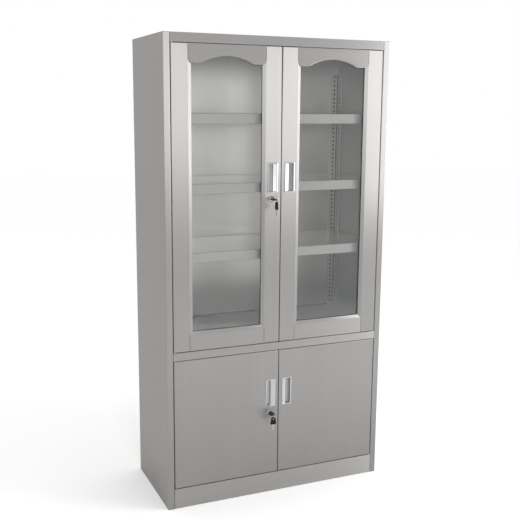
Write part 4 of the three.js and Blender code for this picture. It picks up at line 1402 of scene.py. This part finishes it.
@dataclass
class Key:
    """A key: a moulded head with a ring hole, and a cut blade. Its own Y runs along the blade."""

    hole: float = 3.5 * MM
    end: float = 9 * MM
    shoulder: float = 22 * MM
    half_width: float = 12 * MM
    flare: float = 14 * MM
    corner: float = 6 * MM
    thickness: float = 4 * MM
    blade_half: float = 3.7 * MM
    blade_thickness: float = 1.8 * MM
    blade_length: float = 22 * MM
    blade_root: float = 4 * MM
    cut_depth: float = 1.5 * MM
    cut_pitch: float = 2.6 * MM
    cut_wave: float = 900.0
    point_length: float = 2 * MM
    blade_steps: int = 53
    border_dip: float = 0.35 * MM
    curve_steps: int = 9
    round_steps: int = 13

    def outline(self) -> np.ndarray:
        """Bell-shaped outline, from the blade round the left side, the ring end and the right side.

        The right half is a corner curve, a flare and a quarter circle, given as Bezier curves.
        The left half mirrors it.

        Returns:
            Points in the key's plane, as n x 2.
        """
        w, s, c, e, f = self.half_width, self.shoulder, self.corner, self.end, self.flare
        t = np.linspace(0, 1, self.curve_steps)[:-1, None]
        corner = (1 - t) ** 2 * (w - c, s) + 2 * t * (1 - t) * np.array((w, s)) + t ** 2 * (w, s - c)
        flare = ((1 - t) ** 3 * (w, s - c) + 3 * t * (1 - t) ** 2 * np.array((w, f))
                 + 3 * t ** 2 * (1 - t) * np.array((e, f / 2)) + t ** 3 * (e, 0))
        angle = -np.linspace(0, np.pi / 2, self.round_steps)
        round_end = e * np.stack([np.cos(angle), np.sin(angle)], axis=-1)
        half = np.concatenate([[(0, s), (w / 3, s)], corner, flare, round_end])
        return np.concatenate([half, (half * (-1, 1))[-2:0:-1]])

    def head(self) -> Shell:
        """Head: rings from the hole's edge over a raised border to the outline, and back behind.

        A ring lies a share of the way from the hole to the outline, at a height over the middle
        plane.

        Returns:
            The head in the key's own axes.
        """
        edge = self.outline()
        bearing = np.arctan2(edge[:, 1], edge[:, 0])
        bore = self.hole * np.stack([np.cos(bearing), np.sin(bearing)], axis=-1)
        top, dip = self.thickness / 2, self.border_dip
        front = np.array([
            (0.0, top - dip), (0.06, top), (0.22, top), (0.28, top - dip), (0.72, top - dip),
            (0.78, top), (0.93, top), (0.98, top - dip), (1.0, top - 3 * dip),
        ])
        stations = np.concatenate([front, front[::-1] * (1, -1)])
        share, height = stations.T[:, :, None]
        flat = bore + share[..., None] * (edge - bore)
        rings = np.concatenate([flat, np.broadcast_to(height[..., None], (*flat.shape[:2], 1))], axis=-1)
        return Shell.stack(rings, closed=True)

    def blade(self) -> Shell:
        """Blade: a grooved section carried along its length and narrowed by its cuts.

        The cuts' depth is a triangle wave times a slow sine, so that no two neighbours match.

        Returns:
            The blade in the key's own axes.
        """
        t, g = self.blade_thickness / 2, self.blade_thickness / 5
        section = np.array([
            (1, -t), (1, t), (0.35, t), (0.25, g), (-0.25, g), (-0.35, t),
            (-1, t), (-1, -t), (-0.35, -t), (-0.25, -g), (0.25, -g), (0.35, -t),
        ])
        y = np.linspace(-self.blade_root, self.blade_length, self.blade_steps)
        wave = np.abs((y / self.cut_pitch) % 2 - 1)
        cuts = np.where(y > self.blade_root, wave * (0.55 + 0.45 * np.sin(self.cut_wave * y)), 0)
        point = np.clip((self.blade_length - y) / self.point_length, 0.4, 1)
        half = ((self.blade_half - self.cut_depth * cuts) * point)[:, None]
        x = half * section[None, :, 0]
        z = np.broadcast_to(section[None, :, 1], x.shape)
        along = np.broadcast_to((self.shoulder + y)[:, None], x.shape)
        return Shell.stack(np.stack([x, along, z], axis=-1))

    def placed(self, shell: Shell, hang: Hang, hole_centre: np.ndarray) -> Shell:
        """A surface in the key's own axes, turned to hang and moved to its ring hole."""
        turned = shell.points @ np.array(hang.value, float) + hole_centre
        return Shell(turned, shell.quads, shell.ends).outward()


@dataclass
class KeyBunch:
    """The key in a lock, and a spare on a split ring through its head."""

    finishes: Finishes
    level: str
    hang: Hang
    key: Key
    wire: float = 0.42 * MM
    turns: float = 2.0
    ring_steps: int = 120
    wire_sides: int = 8
    coil_pitch: float = 2.1

    def build(self) -> None:
        """Make both keys and the ring."""
        self._key("key", Hang.IN_LOCK, f"{self.level}_lock_key")
        self._key("spare_key", self.hang, f"{self.level}_spare_bunch")
        node = f"{self.level}_key_ring"
        make_piece(f"{node}_split", [self._ring(node)], self.finishes.chrome,
                   f"{self.level}_spare_bunch", [node])

    def _key(self, word: str, hang: Hang, body: str) -> None:
        """One key: a plastic head and a plated blade.

        Args:
            word: The key's name after its level.
            hang: How it lies.
            body: The body that it moves with.
        """
        node = f"{self.level}_{word}"
        box = Extent.of(node)
        blade_way = np.array(hang.value[1])
        start = np.where(blade_way > 0, box.low, np.where(blade_way < 0, box.high, box.middle))
        centre = start + blade_way * self.key.end
        head = self.key.placed(self.key.head(), hang, centre)
        blade = self.key.placed(self.key.blade(), hang, centre)
        make_piece(f"{node}_head", [head], self.finishes.plastic, body, [node])
        make_piece(f"{node}_blade", [blade], self.finishes.zinc, body, [node])

    def _ring(self, node: str) -> Shell:
        """Split ring: a wire wound on a circle that drifts sideways one wire a turn.

        The wire's circle lies in the plane of the radius and the ring's axis.

        Args:
            node: The ring's node.

        Returns:
            The ring's surface.
        """
        box = Extent.of(node)
        axis = int(np.argmin(box.size))
        first, second = (np.roll(np.eye(3), shift, axis=0)[axis] for shift in (2, 1))
        radius = box.size.max() / 2 - 2 * self.wire
        angle = np.linspace(0, self.turns * 2 * np.pi, self.ring_steps)[:, None, None]
        round_wire = np.linspace(0, 2 * np.pi, self.wire_sides, endpoint=False)[None, :, None]
        outward = np.cos(angle) * first + np.sin(angle) * second
        drift = self.coil_pitch * self.wire * (angle / (2 * np.pi) - self.turns / 2) / self.turns
        reach = radius + self.wire * np.cos(round_wire)
        aside = drift + self.wire * np.sin(round_wire)
        return Shell.stack(box.middle + outward * reach + aside * np.eye(3)[axis])


@dataclass
class Hardware:
    """Pivot pins and magnetic catches."""

    finishes: Finishes

    def build(self) -> None:
        """Dress the pins and the catches."""
        for side in Side:
            places = ("top", "middle", "bottom")
            dress(self.finishes.zinc, *(f"{side.word}_{place}_hinge_pin" for place in places))
        dress(self.finishes.plastic, "upper_magnetic_catch", "lower_magnetic_catch")


@dataclass
class Softbox:
    """A soft lamp: a rectangle of light aimed at a point."""

    name: str
    place: tuple[float, float, float]
    target: tuple[float, float, float]
    size: tuple[float, float]
    power: float

    def build(self) -> None:
        """Hang the lamp."""
        light = bpy.data.lights.new(self.name, "AREA")
        light.shape = "RECTANGLE"
        light.size, light.size_y = self.size
        light.energy = self.power
        lamp = bpy.data.objects.new(self.name, light)
        lamp.location = self.place
        aim = lamp.location - Matrix.Translation(self.target).translation
        lamp.rotation_euler = aim.to_track_quat("Z", "Y").to_euler()
        bpy.context.scene.collection.objects.link(lamp)


@dataclass
class Studio:
    """Pale floor, white surround, soft lamps and the camera."""

    eye: tuple[float, float, float] = (-1.2821, -2.7758, 1.4973)
    yaw: float = np.radians(23.463)
    pitch: float = np.radians(10.536)
    roll: float = np.radians(-0.469)
    lens: float = 56.69
    sensor: float = 36.0
    floor_half: float = 14.0
    floor_colour: Colour = (0.99, 0.99, 0.99)
    surround: float = 1.0

    def build(self) -> None:
        """Set the whole stage."""
        self._camera()
        self._floor()
        self._world()
        Softbox("window_right", (2.6, -1.9, 1.53), (0.1, 0.0, 1.5), (1.4, 1.6), 53).build()
        Softbox("window_right_sill", (2.6, -1.9, 0.35), (0.1, 0.0, 0.7), (1.4, 0.75), 2.4).build()
        Softbox("window_left", (-0.9, -3.6, 1.75), (0.0, 0.0, 1.5), (1.0, 1.3), 26).build()
        Softbox("card_far_right", (3.8, -0.95, 1.0), (0.0, 0.0, 1.0), (0.6, 2.0), 13).build()
        bpy.context.scene.view_settings.view_transform = "Standard"

    def _camera(self) -> None:
        """Camera: its axes are the right, up and back directions after yaw, pitch and roll."""
        yaw, pitch, roll = self.yaw, self.pitch, self.roll
        ahead = np.array([np.sin(yaw) * np.cos(pitch), np.cos(yaw) * np.cos(pitch), -np.sin(pitch)])
        level = np.array([np.cos(yaw), -np.sin(yaw), 0.0])
        down = np.cross(ahead, level)
        right = np.cos(roll) * level + np.sin(roll) * down
        low = np.cos(roll) * down - np.sin(roll) * level
        data = bpy.data.cameras.new("camera")
        data.lens, data.sensor_width, data.sensor_fit = self.lens, self.sensor, "HORIZONTAL"
        camera = bpy.data.objects.new("camera", data)
        axes = np.eye(4)
        axes[:3] = np.stack([right, -low, -ahead, np.array(self.eye)], axis=1)
        camera.matrix_world = Matrix(axes.tolist())
        bpy.context.scene.collection.objects.link(camera)
        bpy.context.scene.camera = camera

    def _floor(self) -> None:
        """Pale floor that takes the shadow."""
        reach = self.floor_half
        mesh = bpy.data.meshes.new("floor")
        corners = np.insert(rectangle((-reach, -reach), (reach, reach)), 2, 0.0, axis=1)
        mesh.from_pydata(corners.tolist(), [], [(0, 1, 2, 3)])
        recipe = Recipe("pale_floor")
        mesh.materials.append(recipe.finish(Base_Color=(*self.floor_colour, 1.0), Roughness=0.9))
        floor = bpy.data.objects.new("floor", mesh)
        bpy.context.scene.collection.objects.link(floor)

    def _world(self) -> None:
        """White surround."""
        world = bpy.data.worlds.new("surround")
        world.use_nodes = True
        background = world.node_tree.nodes["Background"]
        background.inputs["Color"].default_value = (1.0, 1.0, 1.0, 1.0)
        background.inputs["Strength"].default_value = self.surround
        bpy.context.scene.world = world


def main() -> None:
    """Build the stage, then each sub-assembly in order."""
    logging.basicConfig(level=logging.INFO, format="%(message)s")
    Studio().build()
    finishes = Finishes.mix()
    Carcass(finishes).build()
    Shelving(finishes).build()
    Hardware(finishes).build()
    for side in Side:
        GlazedDoor(finishes, side).build()
        PlainDoor(finishes, side).build()
        for level in ("upper", "lower"):
            RecessedPull(finishes, level, side).build()
    for level, hang in (("upper", Hang.EDGE_ON), ("lower", Hang.FACING)):
        CamLock(finishes, level).build()
        KeyBunch(finishes, level, hang, Key()).build()


if __name__ == "__main__":
    main()
